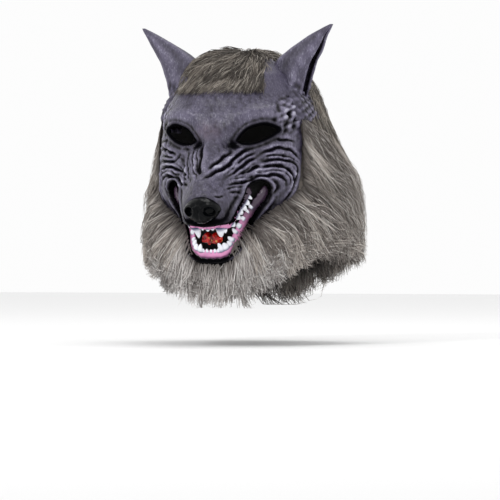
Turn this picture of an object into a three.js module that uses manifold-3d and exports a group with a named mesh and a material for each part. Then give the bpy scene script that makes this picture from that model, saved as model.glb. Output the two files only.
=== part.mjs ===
// Werewolf mask: a moulded latex face with two ears, glued to a cloth hood that carries long fur.
// Millimetres, +Z up, the face looks along -Y. The origin is where the crown of a head touches the hood.
import * as THREE from 'three';
import { mergeVertices } from 'three/addons/utils/BufferGeometryUtils.js';
import Module from 'manifold-3d';

const wasm = await Module();
wasm.setup();

// Walls and clearances
const LATEX_WALL = 2.6;
const CLOTH_WALL = 2.0;
const FIT_GAP = 0.3;

// The head form that the face and the hood share
const HEAD_HALF_WIDTH = 90;
const FACE_DEPTH = 98;
const BACK_DEPTH = 118;
const FACE_DROP = 245;
const HEAD_SQUARENESS = 2.6;
const CROWN_SQUARENESS = 2.2;
const WIDEST_DROP = 0.408;

// The face
const MUZZLE_REACH = 152;
const MUZZLE_BLEND = 8;
const RIDGE_RADIUS = 6;
const HAIRLINE_DROP = 30;
const LATEX_BACK_EDGE = 26;
const CHIN_EDGE_DROP = 243;
const EYE_HALF_LENGTH = 24.5;
const EYE_HALF_HEIGHT = 10.2;
const EYE_SPREAD = 47.5;
const EYE_DROP = 88;
const EYE_TILT = 16;
const EYE_RIM_WIDTH = 6;
const MOUTH_HALF_WIDTH = 63;
const MOUTH_TOP_DROP = 143;
const MOUTH_HEIGHT = 90;

// The nose pad
const NOSE_HALF_WIDTH = 22;
const NOSE_HALF_HEIGHT = 15;
const NOSE_PROUD = 9;
const NOSE_ABOVE_LIP = 20.8;
const NOSTRIL_RADIUS = 4.6;
const NOSTRIL_SPREAD = 11.6;

// Gums, teeth, tongue and the dark liner behind them
const GUM_BREADTH = 9;
const GUM_THICKNESS = 5;
const UPPER_GUM_INSET = 2;
const LOWER_GUM_INSET = 3;
const TEETH_PER_JAW = 13;
const UPPER_CANINE_SHARE = 0.17;
const LOWER_CANINE_SHARE = 0.15;
const TOOTH_RADIUS = 3.1;
const TOOTH_LENGTH = 8;
const CANINE_LENGTH = 13;
const CANINE_SWELL = 1.25;
const TOOTH_STRIP_BREADTH = 1.6;
const TOOTH_STRIP_THICKNESS = 3.2;
const FIRST_TOOTH_SHARE = 0.08;
const LIP_END_SHARE = 0.02;
const LINER_SETBACK = 24;
const LINER_FLATNESS = 0.45;
const LINER_OVERLAP = 0.06;
const TONGUE_SHARE = 0.76;
const TONGUE_HALF_DEPTH = 5;
const TONGUE_HALF_WIDTH = 17;
const TONGUE_HEIGHT = 15;
const TONGUE_CLEARANCE = 1.8;

// The ears
const EAR_HEIGHT = 98;
const EAR_HALF_WIDTH = 24.5;
const EAR_HALF_DEPTH = 15;
const EAR_SPREAD = 0.828 * HEAD_HALF_WIDTH;
const EAR_FOOT_DROP = 55;
const EAR_FORWARD = 15;
const EAR_OPEN_FROM = 38;
const EAR_OPEN_TO = 342;

// The fur
const FUR_DEPTH = 37;
const LOCK_RELIEF = 5;
const FUR_ROOT = 3;
const LOCKS_ROUND = 24;
const FRONT_FUR_SHARE = 0.62;
const FUR_RISE_TURN = 26;
const FUR_RISE_DROP = 0.1;
const FUR_TIERS = 6;
const LOCK_TIP = 0.06 * FACE_DROP;
const FUR_BACKING = 0.6;
const EAR_CLEARANCE = 0.7;

// Sections of the head form: drop below the crown as a share of FACE_DROP, the rest of their own sizes
const HEAD_SECTIONS = [
  { drop: 0.00, width: 1.00, front: 0.99, back: 1.00, flare: 0.00 },
  { drop: 0.31, width: 1.00, front: 0.99, back: 1.00, flare: 0.00 },
  { drop: 0.42, width: 1.00, front: 0.99, back: 1.01, flare: 0.02 },
  { drop: 0.55, width: 1.00, front: 1.00, back: 1.01, flare: 0.12 },
  { drop: 0.66, width: 0.985, front: 0.97, back: 1.00, flare: 0.18 },
  { drop: 0.73, width: 0.98, front: 0.90, back: 1.00, flare: 0.20 },
  { drop: 0.79, width: 0.98, front: 0.94, back: 0.99, flare: 0.21 },
  { drop: 0.88, width: 0.98, front: 1.05, back: 0.98, flare: 0.22 },
  { drop: 1.00, width: 0.97, front: 1.06, back: 0.97, flare: 0.22 },
  { drop: 1.22, width: 0.93, front: 0.93, back: 0.95, flare: 0.20 },
  { drop: 1.35, width: 0.92, front: 0.90, back: 0.94, flare: 0.20 },
];

// Muzzle and lower jaw: reach of MUZZLE_REACH, flat of HEAD_HALF_WIDTH, slope of the sides
const MUZZLE_SECTIONS = [
  { drop: 0.10, reach: 0.30, flat: 0.11, slope: 1.00 },
  { drop: 0.25, reach: 0.51, flat: 0.11, slope: 1.00 },
  { drop: 0.33, reach: 0.645, flat: 0.09, slope: 1.00 },
  { drop: 0.42, reach: 0.75, flat: 0.09, slope: 1.05 },
  { drop: 0.55, reach: 0.895, flat: 0.10, slope: 1.15 },
  { drop: 0.645, reach: 0.98, flat: 0.145, slope: 1.40 },
  { drop: 0.70, reach: 1.00, flat: 0.20, slope: 1.85 },
  { drop: 0.76, reach: 0.975, flat: 0.245, slope: 2.60 },
  { drop: 0.80, reach: 0.92, flat: 0.27, slope: 3.00 },
  { drop: 0.84, reach: 0.85, flat: 0.275, slope: 2.90 },
  { drop: 0.88, reach: 0.81, flat: 0.26, slope: 2.00 },
  { drop: 0.94, reach: 0.77, flat: 0.22, slope: 1.20 },
  { drop: 1.00, reach: 0.70, flat: 0.18, slope: 1.00 },
  { drop: 1.06, reach: 0.55, flat: 0.18, slope: 1.00 },
];

// Edge of the latex seen from the front: half width as a share of HEAD_HALF_WIDTH
const LATEX_EDGE = [
  { drop: 0.57, edge: 1.12 },
  { drop: 0.61, edge: 0.985 },
  { drop: 0.665, edge: 0.90 },
  { drop: 0.73, edge: 0.73 },
  { drop: 0.785, edge: 0.54 },
  { drop: 0.865, edge: 0.42 },
  { drop: 0.94, edge: 0.30 },
  { drop: 0.99, edge: 0.22 },
];

// Mouth opening from the middle of the upper lip round the corner to the middle of the lower lip:
// across as a share of MOUTH_HALF_WIDTH, down from the corner's top as a share of MOUTH_HEIGHT
const MOUTH_OUTLINE = [
  { across: 0.000, down: 0.620 },
  { across: 0.235, down: 0.600 },
  { across: 0.443, down: 0.558 },
  { across: 0.545, down: 0.385 },
  { across: 0.645, down: 0.210 },
  { across: 0.700, down: 0.055 },
  { across: 0.860, down: 0.000 },
  { across: 1.000, down: 0.080 },
  { across: 0.948, down: 0.224 },
  { across: 0.748, down: 0.438 },
  { across: 0.651, down: 0.558 },
  { across: 0.551, down: 0.705 },
  { across: 0.440, down: 0.856 },
  { across: 0.306, down: 0.956 },
  { across: 0.000, down: 1.000 },
];
const UPPER_LIP_ROWS = 6;
const LOWER_LIP_START = 8;
const NOSE_DROP = MOUTH_TOP_DROP + MOUTH_OUTLINE[0].down * MOUTH_HEIGHT - NOSE_ABOVE_LIP;

// Folds of the near cheek, mirrored to the other: both ends as shares of HEAD_HALF_WIDTH and FACE_DROP,
// bow and half width as shares of EYE_RIM_WIDTH, rise as a share of LATEX_WALL, minus for a groove
const FOLDS = [
  { x1: 0.41, z1: 0.43, x2: 0.06, z2: 0.57, bow: -0.5, width: 0.75, rise: -0.45 },
  { x1: 0.32, z1: 0.40, x2: 0.06, z2: 0.52, bow: -0.3, width: 0.80, rise: 0.8 },
  { x1: 0.50, z1: 0.45, x2: 0.22, z2: 0.555, bow: 0.6, width: 0.80, rise: 0.9 },
  { x1: 0.59, z1: 0.46, x2: 0.93, z2: 0.455, bow: 1.4, width: 0.70, rise: -0.45 },
  { x1: 0.54, z1: 0.495, x2: 0.94, z2: 0.53, bow: 0.9, width: 0.70, rise: -0.45 },
  { x1: 0.52, z1: 0.475, x2: 0.94, z2: 0.49, bow: 1.1, width: 0.80, rise: 1.0 },
  { x1: 0.30, z1: 0.565, x2: 0.92, z2: 0.57, bow: 1.7, width: 0.80, rise: -0.45 },
  { x1: 0.28, z1: 0.53, x2: 0.92, z2: 0.545, bow: 1.7, width: 0.80, rise: 1.1 },
  { x1: 0.28, z1: 0.61, x2: 0.62, z2: 0.57, bow: 0.4, width: 0.80, rise: -0.45 },
  { x1: 0.93, z1: 0.55, x2: 0.72, z2: 0.68, bow: -1.0, width: 1.10, rise: 1.6 },
];

// Soft bosses and hollows: centre, radii and rise in the same shares, rise of LATEX_WALL
const BOSSES = [
  { x: 0.47, z: 0.285, across: 0.36, down: 0.040, rise: 2.2 },
  { x: 0.20, z: 0.335, across: 0.16, down: 0.040, rise: 1.4 },
  { x: 0.53, z: 0.360, across: 0.40, down: 0.080, rise: -2.0 },
  { x: 0.22, z: 0.405, across: 0.10, down: 0.030, rise: -1.6 },
  { x: 0.00, z: 0.235, across: 0.07, down: 0.045, rise: -1.2 },
  { x: 0.74, z: 0.585, across: 0.24, down: 0.055, rise: 1.6 },
  { x: 0.34, z: 0.720, across: 0.16, down: 0.060, rise: 1.2 },
];

// Ear sections: rise of EAR_HEIGHT; lean and sweep of EAR_SPREAD and EAR_HALF_DEPTH; half sizes of their own
const EAR_SECTIONS = [
  { rise: 0.00, lean: -0.17, sweep: 0.00, width: 0.90, depth: 0.95 },
  { rise: 0.20, lean: -0.14, sweep: 0.00, width: 1.04, depth: 1.00 },
  { rise: 0.40, lean: -0.09, sweep: 0.00, width: 1.10, depth: 1.02 },
  { rise: 0.56, lean: -0.01, sweep: 0.00, width: 1.07, depth: 0.97 },
  { rise: 0.71, lean: 0.16, sweep: 0.08, width: 0.86, depth: 0.76 },
  { rise: 0.86, lean: 0.36, sweep: 0.34, width: 0.50, depth: 0.45 },
  { rise: 0.95, lean: 0.50, sweep: 0.32, width: 0.25, depth: 0.25 },
  { rise: 1.00, lean: 0.585, sweep: 0.28, width: 0.09, depth: 0.14 },
];

// Fur: depth as a share of FUR_DEPTH at the front, side and back of each level
const FUR_SECTIONS = [
  { drop: 0.00, front: 0.52, side: 0.52, back: 0.52 },
  { drop: 0.12, front: 0.50, side: 0.36, back: 0.50 },
  { drop: 0.28, front: 0.40, side: 0.20, back: 0.55 },
  { drop: 0.38, front: 0.35, side: 0.42, back: 0.60 },
  { drop: 0.55, front: 0.35, side: 0.90, back: 0.80 },
  { drop: 0.70, front: 0.40, side: 0.98, back: 0.90 },
  { drop: 0.87, front: 0.45, side: 1.00, back: 0.95 },
  { drop: 1.00, front: 0.55, side: 0.95, back: 0.95 },
  { drop: 1.30, front: 0.60, side: 0.85, back: 0.85 },
];

// Hems by turn from the front, in degrees, as shares of FACE_DROP
const HEMS = [
  { turn: 0, cloth: 1.05, fur: 1.14 },
  { turn: 30, cloth: 1.00, fur: 1.09 },
  { turn: 60, cloth: 0.89, fur: 0.97 },
  { turn: 90, cloth: 0.83, fur: 0.91 },
  { turn: 120, cloth: 0.86, fur: 0.93 },
  { turn: 150, cloth: 0.95, fur: 1.04 },
  { turn: 180, cloth: 1.05, fur: 1.15 },
];

// Grid counts
const FACE_COLUMNS = 36;
const FACE_ROWS = 34;
const LINING_COLUMNS = 20;
const LINING_ROWS = 20;
const HOOD_COLUMNS = 28;
const HOOD_ROWS = 8;
const FUR_COLUMNS = 48;
const FUR_ROWS = 15;
const FUR_LINING_ROWS = 4;
const LIP_STEPS = 14;
const LINER_COLUMNS = 14;
const LINER_ROWS = 6;
const SEAT_COLUMNS = 64;
const SEAT_ROWS = 24;

const radians = THREE.MathUtils.degToRad;

// Value of a column at a key, on a smooth curve through the rows
function along(rows, key, column, at) {
  const last = rows.length - 1;
  const place = THREE.MathUtils.clamp(at, rows[0][key], rows[last][key]);
  let i = 0;
  while (i < last - 1 && rows[i + 1][key] <= place) i += 1;
  const slope = (n) => {
    const a = rows[Math.max(n - 1, 0)];
    const b = rows[Math.min(n + 1, last)];
    return (b[column] - a[column]) / (b[key] - a[key]);
  };
  const span = rows[i + 1][key] - rows[i][key];
  const s = (place - rows[i][key]) / span;
  const rest = 1 - s;
  return rows[i][column] * (1 + 2 * s) * rest * rest
    + rows[i + 1][column] * (3 - 2 * s) * s * s
    + span * (slope(i) * s * rest * rest - slope(i + 1) * s * s * rest);
}

const smoothMax = (a, b, blend) => (a + b + Math.hypot(a - b, blend)) / 2;
const signedPower = (value, power) => Math.sign(value) * Math.abs(value) ** power;
const bump = (distance) => (Math.abs(distance) < 1 ? (1 - distance * distance) ** 2 : 0);

// The head form closes like a dome above its widest level
function domeShare(drop) {
  const q = THREE.MathUtils.clamp((WIDEST_DROP - drop) / WIDEST_DROP, 0, 1);
  return (1 - q ** CROWN_SQUARENESS) ** (1 / CROWN_SQUARENESS);
}

// Point of the head form at a turn from the front and a height, grown outwards
function formPoint(turn, z, grow) {
  const drop = -z / FACE_DROP;
  const angle = radians(turn);
  const dome = domeShare(drop);
  const power = 2 / HEAD_SQUARENESS;
  const back = Math.cos(angle) < 0;
  const flare = back ? 1 + along(HEAD_SECTIONS, 'drop', 'flare', drop) * Math.min(1, -2 * Math.cos(angle)) : 1;
  const halfWidth = (HEAD_HALF_WIDTH * along(HEAD_SECTIONS, 'drop', 'width', drop) * flare + grow) * dome;
  const depth = back
    ? BACK_DEPTH * along(HEAD_SECTIONS, 'drop', 'back', drop)
    : FACE_DEPTH * along(HEAD_SECTIONS, 'drop', 'front', drop);
  const lift = grow * Math.max(0, 1 - drop / WIDEST_DROP) ** 2;
  return new THREE.Vector3(
    halfWidth * signedPower(Math.sin(angle), power),
    -(depth + grow) * dome * signedPower(Math.cos(angle), power),
    z + lift,
  );
}

const muzzleAt = (drop, column) => along(MUZZLE_SECTIONS, 'drop', column, drop);

// Depth of the muzzle and jaw in front of the ear line
function muzzleDepth(x, z, grow) {
  const drop = -z / FACE_DROP;
  const slope = muzzleAt(drop, 'slope');
  const flat = muzzleAt(drop, 'flat') * HEAD_HALF_WIDTH + (grow * (Math.hypot(1, slope) - 1)) / slope;
  const beside = Math.abs(x) - flat;
  const side = (beside + Math.hypot(beside, RIDGE_RADIUS)) / 2;
  return muzzleAt(drop, 'reach') * MUZZLE_REACH + grow - slope * side;
}

// Height of a ridge or groove along a bowed line
function foldHeight(fold, x, z) {
  const from = new THREE.Vector2(fold.x1 * HEAD_HALF_WIDTH, -fold.z1 * FACE_DROP);
  const to = new THREE.Vector2(fold.x2 * HEAD_HALF_WIDTH, -fold.z2 * FACE_DROP);
  const run = to.clone().sub(from);
  const length = run.length();
  const point = new THREE.Vector2(x, z).sub(from);
  const share = point.dot(run) / (length * length);
  const across = point.cross(run) / length;
  const bow = 4 * share * (1 - share) * fold.bow * EYE_RIM_WIDTH;
  const fade = bump(2 * share - 1) ** 0.5;
  return fold.rise * LATEX_WALL * fade * bump((across + bow) / (fold.width * EYE_RIM_WIDTH));
}

// Place of a point relative to the almond eye: 1 on its edge
function eyeShare(x, z) {
  const tilt = radians(EYE_TILT);
  const dx = x - EYE_SPREAD;
  const dz = z + EYE_DROP;
  const u = dx * Math.cos(tilt) + dz * Math.sin(tilt);
  const v = -dx * Math.sin(tilt) + dz * Math.cos(tilt);
  return Math.hypot(u / EYE_HALF_LENGTH, v / EYE_HALF_HEIGHT);
}

// Relief of the moulded face over its smooth form: the inside follows the bosses and not the folds
function faceRelief(x, z, folded) {
  const side = Math.abs(x);
  let height = 0;
  if (folded) for (const fold of FOLDS) height += foldHeight(fold, side, z);
  for (const boss of BOSSES) {
    const dx = (side - boss.x * HEAD_HALF_WIDTH) / (boss.across * HEAD_HALF_WIDTH);
    const dz = (z / FACE_DROP + boss.z) / boss.down;
    height += boss.rise * LATEX_WALL * bump(Math.hypot(dx, dz));
  }
  const rim = ((eyeShare(side, z) - 1.12) * EYE_HALF_HEIGHT) / EYE_RIM_WIDTH;
  return folded ? height + LATEX_WALL * bump(rim) : height;
}

// Point of the face at a share across, -1 to 1, and a height
function faceBase(share, z, grow) {
  const form = formPoint(90 * share, z, grow);
  const muzzle = muzzleDepth(form.x, z, grow);
  return new THREE.Vector3(form.x, -smoothMax(-form.y, muzzle, MUZZLE_BLEND), z);
}

function facePoint(share, z, grow) {
  const step = 0.004;
  const limit = 1 - step;
  const at = THREE.MathUtils.clamp(share, -limit, limit);
  const acrossStep = faceBase(at + step, z, grow).sub(faceBase(at - step, z, grow));
  const upStep = faceBase(at, z + 1, grow).sub(faceBase(at, z - 1, grow));
  const normal = acrossStep.cross(upStep).normalize();
  const base = faceBase(share, z, grow);
  return base.addScaledVector(normal, faceRelief(base.x, z, grow > -LATEX_WALL));
}

const faceSurfaceY = (x, z) => {
  const drop = -z / FACE_DROP;
  const halfWidth = HEAD_HALF_WIDTH * along(HEAD_SECTIONS, 'drop', 'width', drop) * domeShare(drop);
  const across = Math.min(Math.abs(x) / halfWidth, 1);
  const round = (1 - across ** HEAD_SQUARENESS) ** (1 / HEAD_SQUARENESS);
  const head = FACE_DEPTH * along(HEAD_SECTIONS, 'drop', 'front', drop) * domeShare(drop) * round;
  return -smoothMax(head, muzzleDepth(x, z, 0), MUZZLE_BLEND);
};

// Meshes and solids
function geometryFrom(points, faces) {
  const geometry = new THREE.BufferGeometry();
  const flat = new Float32Array(points.length * 3);
  points.forEach((point, i) => point.toArray(flat, 3 * i));
  geometry.setAttribute('position', new THREE.BufferAttribute(flat, 3));
  geometry.setIndex(faces.flat());
  return geometry;
}

function solidFrom(geometry) {
  const bare = geometry.clone();
  bare.deleteAttribute('normal');
  bare.deleteAttribute('uv');
  const merged = mergeVertices(bare, 1e-4);
  return new wasm.Manifold(new wasm.Mesh({
    numProp: 3,
    vertProperties: new Float32Array(merged.attributes.position.array),
    triVerts: new Uint32Array(merged.index.array),
  }));
}

// The largest body of a solid, without slivers that a cut left loose
function mainBody(solid) {
  return solid.decompose().reduce((best, body) => (body.volume() > best.volume() ? body : best));
}

function geometryOf(solid) {
  const mesh = solid.getMesh();
  const geometry = new THREE.BufferGeometry();
  geometry.setAttribute('position', new THREE.BufferAttribute(mesh.vertProperties, 3));
  geometry.setIndex(new THREE.BufferAttribute(mesh.triVerts, 1));
  geometry.computeVertexNormals();
  return geometry;
}

function quad(faces, a, b, c, d) {
  faces.push([a, b, c], [a, c, d]);
}

// Solid between a front grid and a flat back: point(i, j) runs left to right and bottom to top, seen from -Y
function backedGrid(columns, rows, point, backY) {
  const points = [];
  const faces = [];
  const index = (i, j) => j * (columns + 1) + i;
  const count = (columns + 1) * (rows + 1);
  for (let j = 0; j <= rows; j += 1) {
    for (let i = 0; i <= columns; i += 1) points.push(point(i / columns, j / rows));
  }
  for (let k = 0; k < count; k += 1) points.push(new THREE.Vector3(points[k].x, backY, points[k].z));
  for (let j = 0; j < rows; j += 1) {
    for (let i = 0; i < columns; i += 1) {
      const corners = [index(i, j), index(i + 1, j), index(i + 1, j + 1), index(i, j + 1)];
      quad(faces, ...corners);
      quad(faces, ...corners.map((corner) => corner + count).reverse());
    }
  }
  const rim = [];
  for (let i = 0; i < columns; i += 1) rim.push(index(i, 0));
  for (let j = 0; j < rows; j += 1) rim.push(index(columns, j));
  for (let i = columns; i > 0; i -= 1) rim.push(index(i, rows));
  for (let j = rows; j > 0; j -= 1) rim.push(index(0, j));
  rim.forEach((a, n) => {
    const b = rim[(n + 1) % rim.length];
    quad(faces, a, a + count, b + count, b);
  });
  return geometryFrom(points, faces);
}

// Closed dome shell from a pole: outer(turn, v) and inner(turn, v) meet the hem at v = 1
function domeShell(columns, outerRows, innerRows, outer, inner) {
  const points = [outer(0, 0)];
  const faces = [];
  const ring = (surface, v) => {
    const start = points.length;
    for (let i = 0; i < columns; i += 1) points.push(surface((360 * i) / columns - 180, v));
    return start;
  };
  const starts = [];
  for (let j = 1; j <= outerRows; j += 1) starts.push(ring(outer, j / outerRows));
  for (let j = innerRows; j >= 1; j -= 1) starts.push(ring(inner, j / innerRows));
  points.push(inner(0, 0));
  for (let i = 0; i < columns; i += 1) {
    const next = (i + 1) % columns;
    faces.push([0, starts[0] + i, starts[0] + next]);
    for (let n = 0; n + 1 < starts.length; n += 1) {
      quad(faces, starts[n] + i, starts[n + 1] + i, starts[n + 1] + next, starts[n] + next);
    }
    const end = starts[starts.length - 1];
    faces.push([points.length - 1, end + next, end + i]);
  }
  return geometryFrom(points, faces);
}

// Solid swept through closed loops of equal count, with both ends capped from the first point
function loftLoops(loops) {
  const count = loops[0].length;
  const faces = [];
  for (let n = 0; n + 1 < loops.length; n += 1) {
    for (let i = 0; i < count; i += 1) {
      const next = (i + 1) % count;
      quad(faces, n * count + i, n * count + next, (n + 1) * count + next, (n + 1) * count + i);
    }
  }
  const top = (loops.length - 1) * count;
  for (let i = 1; i + 1 < count; i += 1) {
    faces.push([0, i + 1, i]);
    faces.push([top, top + i, top + i + 1]);
  }
  return geometryFrom(loops.flat(), faces);
}

// Upright plate with an outline seen from the front, between two depths
function frontPlate(outline, fromY, toY) {
  const shape = new THREE.Shape(outline.map(([x, z]) => new THREE.Vector2(x, z)));
  const geometry = new THREE.ExtrudeGeometry(shape, { depth: toY - fromY, bevelEnabled: false, steps: 1 });
  geometry.rotateX(Math.PI / 2);
  geometry.translate(0, toY, 0);
  return solidFrom(geometry);
}

const mirrored = (half) => [...half, ...half.map(([x, z]) => [-x, z]).reverse()];

// Outline of the latex from the front, grown by a clearance
function latexWindow(grow) {
  const wide = LATEX_EDGE[0].edge * HEAD_HALF_WIDTH + grow;
  const half = [[wide, -HAIRLINE_DROP + grow]];
  for (const row of LATEX_EDGE) half.push([row.edge * HEAD_HALF_WIDTH + grow, -row.drop * FACE_DROP]);
  half[half.length - 1][1] = -CHIN_EDGE_DROP - grow;
  return frontPlate(mirrored(half), -2 * MUZZLE_REACH, -LATEX_BACK_EDGE + grow);
}

const mouthPoint = (row) => [row.across * MOUTH_HALF_WIDTH, -MOUTH_TOP_DROP - row.down * MOUTH_HEIGHT];

function eyeCutter(side) {
  const tilt = radians(EYE_TILT);
  const sides = 24;
  const outline = [];
  for (let i = 0; i < sides; i += 1) {
    const angle = (side * 2 * Math.PI * i) / sides;
    const u = EYE_HALF_LENGTH * Math.cos(angle);
    const v = EYE_HALF_HEIGHT * Math.sin(angle);
    const x = EYE_SPREAD + u * Math.cos(tilt) - v * Math.sin(tilt);
    outline.push([side * x, -EYE_DROP + u * Math.sin(tilt) + v * Math.cos(tilt)]);
  }
  return frontPlate(outline, -MUZZLE_REACH, 0);
}

// Inside or outside of the face as a solid block, open past the latex edges when reach is given
function faceBlock(columns, rows, grow, reach) {
  const low = -CHIN_EDGE_DROP - reach;
  const high = -HAIRLINE_DROP + reach;
  const point = (i, j) => facePoint(2 * i - 1, low + (high - low) * j, grow);
  return solidFrom(backedGrid(columns, rows, point, reach));
}

// Face: the outer form less the inner one, cut to its edge, with eyes and mouth open
function latexFace() {
  const outer = faceBlock(FACE_COLUMNS, FACE_ROWS, 0, 4);
  const inner = faceBlock(LINING_COLUMNS, LINING_ROWS, -LATEX_WALL, 8);
  const mouth = frontPlate(mirrored(MOUTH_OUTLINE.map(mouthPoint)), -2 * MUZZLE_REACH, -0.5 * FACE_DEPTH);
  let face = outer.subtract(inner).intersect(latexWindow(0)).subtract(mouth);
  for (const side of [-1, 1]) face = face.subtract(eyeCutter(side));
  return mainBody(face);
}

const hemDrop = (turn, column) => along(HEMS, 'turn', column, Math.abs(turn)) * FACE_DROP;
const rowShare = (v) => 1 - Math.cos((Math.PI / 2) * v);

function hoodPoint(turn, v, grow) {
  return formPoint(turn, -hemDrop(turn, 'cloth') * rowShare(v), grow);
}

function clothHood() {
  const shell = domeShell(
    HOOD_COLUMNS, HOOD_ROWS, HOOD_ROWS,
    (turn, v) => hoodPoint(turn, v, CLOTH_WALL),
    (turn, v) => hoodPoint(turn, v, 0),
  );
  return mainBody(solidFrom(shell).subtract(latexWindow(FIT_GAP)));
}

// The fur thins out towards the edge of the latex
function furEdgeShare(turn, drop) {
  const edge = Math.min(along(LATEX_EDGE, 'drop', 'edge', drop), 0.985);
  const edgeTurn = THREE.MathUtils.radToDeg(Math.asin(edge ** (HEAD_SQUARENESS / 2)));
  const beside = (Math.abs(turn) - edgeTurn) / FUR_RISE_TURN;
  const above = (HAIRLINE_DROP / FACE_DROP - drop) / FUR_RISE_DROP;
  const below = (drop - CHIN_EDGE_DROP / FACE_DROP) / FUR_RISE_DROP;
  const away = THREE.MathUtils.clamp(Math.max(beside, above, below), 0, 1);
  return 0.3 + 0.7 * Math.sin((away * Math.PI) / 2);
}

// Fur: tiers of locks over the hood, each lock ending in a point at the hem
function furDepth(turn, drop) {
  const facing = Math.cos(radians(turn));
  const side = along(FUR_SECTIONS, 'drop', 'side', drop);
  const end = along(FUR_SECTIONS, 'drop', facing > 0 ? 'front' : 'back', drop);
  const flat = (1 - FRONT_FUR_SHARE) * Math.min(1, drop / WIDEST_DROP);
  const swell = 1 - flat * (1 - THREE.MathUtils.smoothstep(Math.abs(turn), 65, 105));
  return FUR_DEPTH * (side + (end - side) * facing * facing) * swell * furEdgeShare(turn, drop);
}

function furPoint(turn, v) {
  const tierShare = (v * FUR_TIERS) % 1;
  const phase = Math.floor(v * FUR_TIERS) * 0.5;
  const lock = Math.abs(((turn / 360) * LOCKS_ROUND + phase + 100) % 1 - 0.5) * 2;
  const tip = v >= 1 ? LOCK_TIP * lock : 0;
  const z = -hemDrop(turn, 'fur') * rowShare(v) + tip;
  const fade = Math.min(1, 2 * v);
  const relief = LOCK_RELIEF * fade * (0.5 * tierShare - lock);
  const least = CLOTH_WALL + FIT_GAP + FUR_ROOT;
  return formPoint(turn, z, Math.max(furDepth(turn, -z / FACE_DROP) + relief, least));
}

function furBackPoint(turn, v) {
  const lock = Math.abs(((turn / 360) * LOCKS_ROUND + 100) % 1 - 0.5) * 2;
  const tip = v >= 1 ? LOCK_TIP * lock : 0;
  const z = -hemDrop(turn, 'fur') * rowShare(v) + tip;
  return formPoint(turn, z, CLOTH_WALL + FIT_GAP + FUR_BACKING);
}

function maneFur(earSolids) {
  let fur = solidFrom(domeShell(FUR_COLUMNS, FUR_ROWS, FUR_LINING_ROWS, furPoint, furBackPoint));
  const pastHem = (HOOD_ROWS + 1) / HOOD_ROWS;
  const hood = solidFrom(domeShell(
    HOOD_COLUMNS, HOOD_ROWS + 1, 1,
    (turn, v) => hoodPoint(turn, v * pastHem, CLOTH_WALL + FIT_GAP),
    (turn, v) => hoodPoint(turn, 0.5 * v, 0).multiplyScalar(0.5),
  ));
  fur = fur.subtract(hood).subtract(latexWindow(FIT_GAP));
  for (const ear of earSolids) fur = fur.subtract(ear);
  return mainBody(fur);
}

// Ear: a curled sheet, open on its outer side
function earLoop(row, side, grow) {
  const halfWidth = row.width * EAR_HALF_WIDTH + grow;
  const halfDepth = row.depth * EAR_HALF_DEPTH + grow;
  const centre = new THREE.Vector3(
    (1 + row.lean) * EAR_SPREAD,
    -EAR_FORWARD - row.sweep * EAR_HALF_DEPTH,
    -EAR_FOOT_DROP + row.rise * EAR_HEIGHT + grow * row.rise,
  );
  return (angle, inset) => new THREE.Vector3(
    side * (centre.x + Math.max(halfWidth - inset, 0.4 * halfWidth) * Math.cos(angle)),
    centre.y - Math.max(halfDepth - inset, 0.4 * halfDepth) * Math.sin(angle),
    centre.z,
  );
}

function earSolid(side, head) {
  const arcs = 14;
  const loops = EAR_SECTIONS.map((row) => {
    const point = earLoop(row, side, 0);
    const loop = [];
    for (let i = 0; i <= arcs; i += 1) {
      loop.push(point(radians(EAR_OPEN_FROM + ((EAR_OPEN_TO - EAR_OPEN_FROM) * i) / arcs), 0));
    }
    for (let i = arcs; i >= 0; i -= 1) {
      loop.push(point(radians(EAR_OPEN_FROM + ((EAR_OPEN_TO - EAR_OPEN_FROM) * i) / arcs), LATEX_WALL));
    }
    return side > 0 ? loop.reverse() : loop;
  });
  return mainBody(solidFrom(stripLoft(loops)).subtract(head));
}

// Loft of loops that are a thin strip folded on itself, capped in quads across the strip
function stripLoft(loops) {
  const count = loops[0].length;
  const faces = [];
  for (let n = 0; n + 1 < loops.length; n += 1) {
    for (let i = 0; i < count; i += 1) {
      const next = (i + 1) % count;
      quad(faces, n * count + i, n * count + next, (n + 1) * count + next, (n + 1) * count + i);
    }
  }
  const top = (loops.length - 1) * count;
  for (let i = 0; i + 1 < count / 2; i += 1) {
    const across = count - 1 - i;
    quad(faces, i, across, across - 1, i + 1);
    quad(faces, top + i, top + i + 1, top + across - 1, top + across);
  }
  return geometryFrom(loops.flat(), faces);
}

function earEnvelope(side) {
  const sides = 12;
  const loops = EAR_SECTIONS.map((row) => {
    const point = earLoop(row, side, FIT_GAP + EAR_CLEARANCE);
    const loop = [];
    for (let i = 0; i < sides; i += 1) loop.push(point((2 * Math.PI * i) / sides, 0));
    return side > 0 ? loop.reverse() : loop;
  });
  return solidFrom(loftLoops(loops));
}

// Solid head form for seating what stands on it
function headSolid(grow) {
  return solidFrom(domeShell(
    SEAT_COLUMNS, SEAT_ROWS, 1,
    (turn, v) => formPoint(turn, -CHIN_EDGE_DROP * rowShare(v), grow),
    () => new THREE.Vector3(0, 0, -CHIN_EDGE_DROP),
  ));
}

function nosePad(faceClear) {
  const geometry = new THREE.SphereGeometry(1, 18, 10);
  geometry.rotateX(Math.PI / 2);
  geometry.scale(NOSE_HALF_WIDTH, NOSE_HALF_WIDTH, NOSE_HALF_HEIGHT);
  const centreY = faceSurfaceY(0, -NOSE_DROP) - NOSE_PROUD + NOSE_HALF_WIDTH;
  geometry.translate(0, centreY, -NOSE_DROP);
  let nose = solidFrom(geometry);
  for (const side of [-1, 1]) {
    const nostril = new THREE.SphereGeometry(NOSTRIL_RADIUS, 10, 8);
    nostril.translate(side * NOSTRIL_SPREAD, faceSurfaceY(0, -NOSE_DROP) - NOSE_PROUD + 2, -NOSE_DROP - 2);
    nose = nose.subtract(solidFrom(nostril));
  }
  return mainBody(nose.subtract(faceClear));
}

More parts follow.
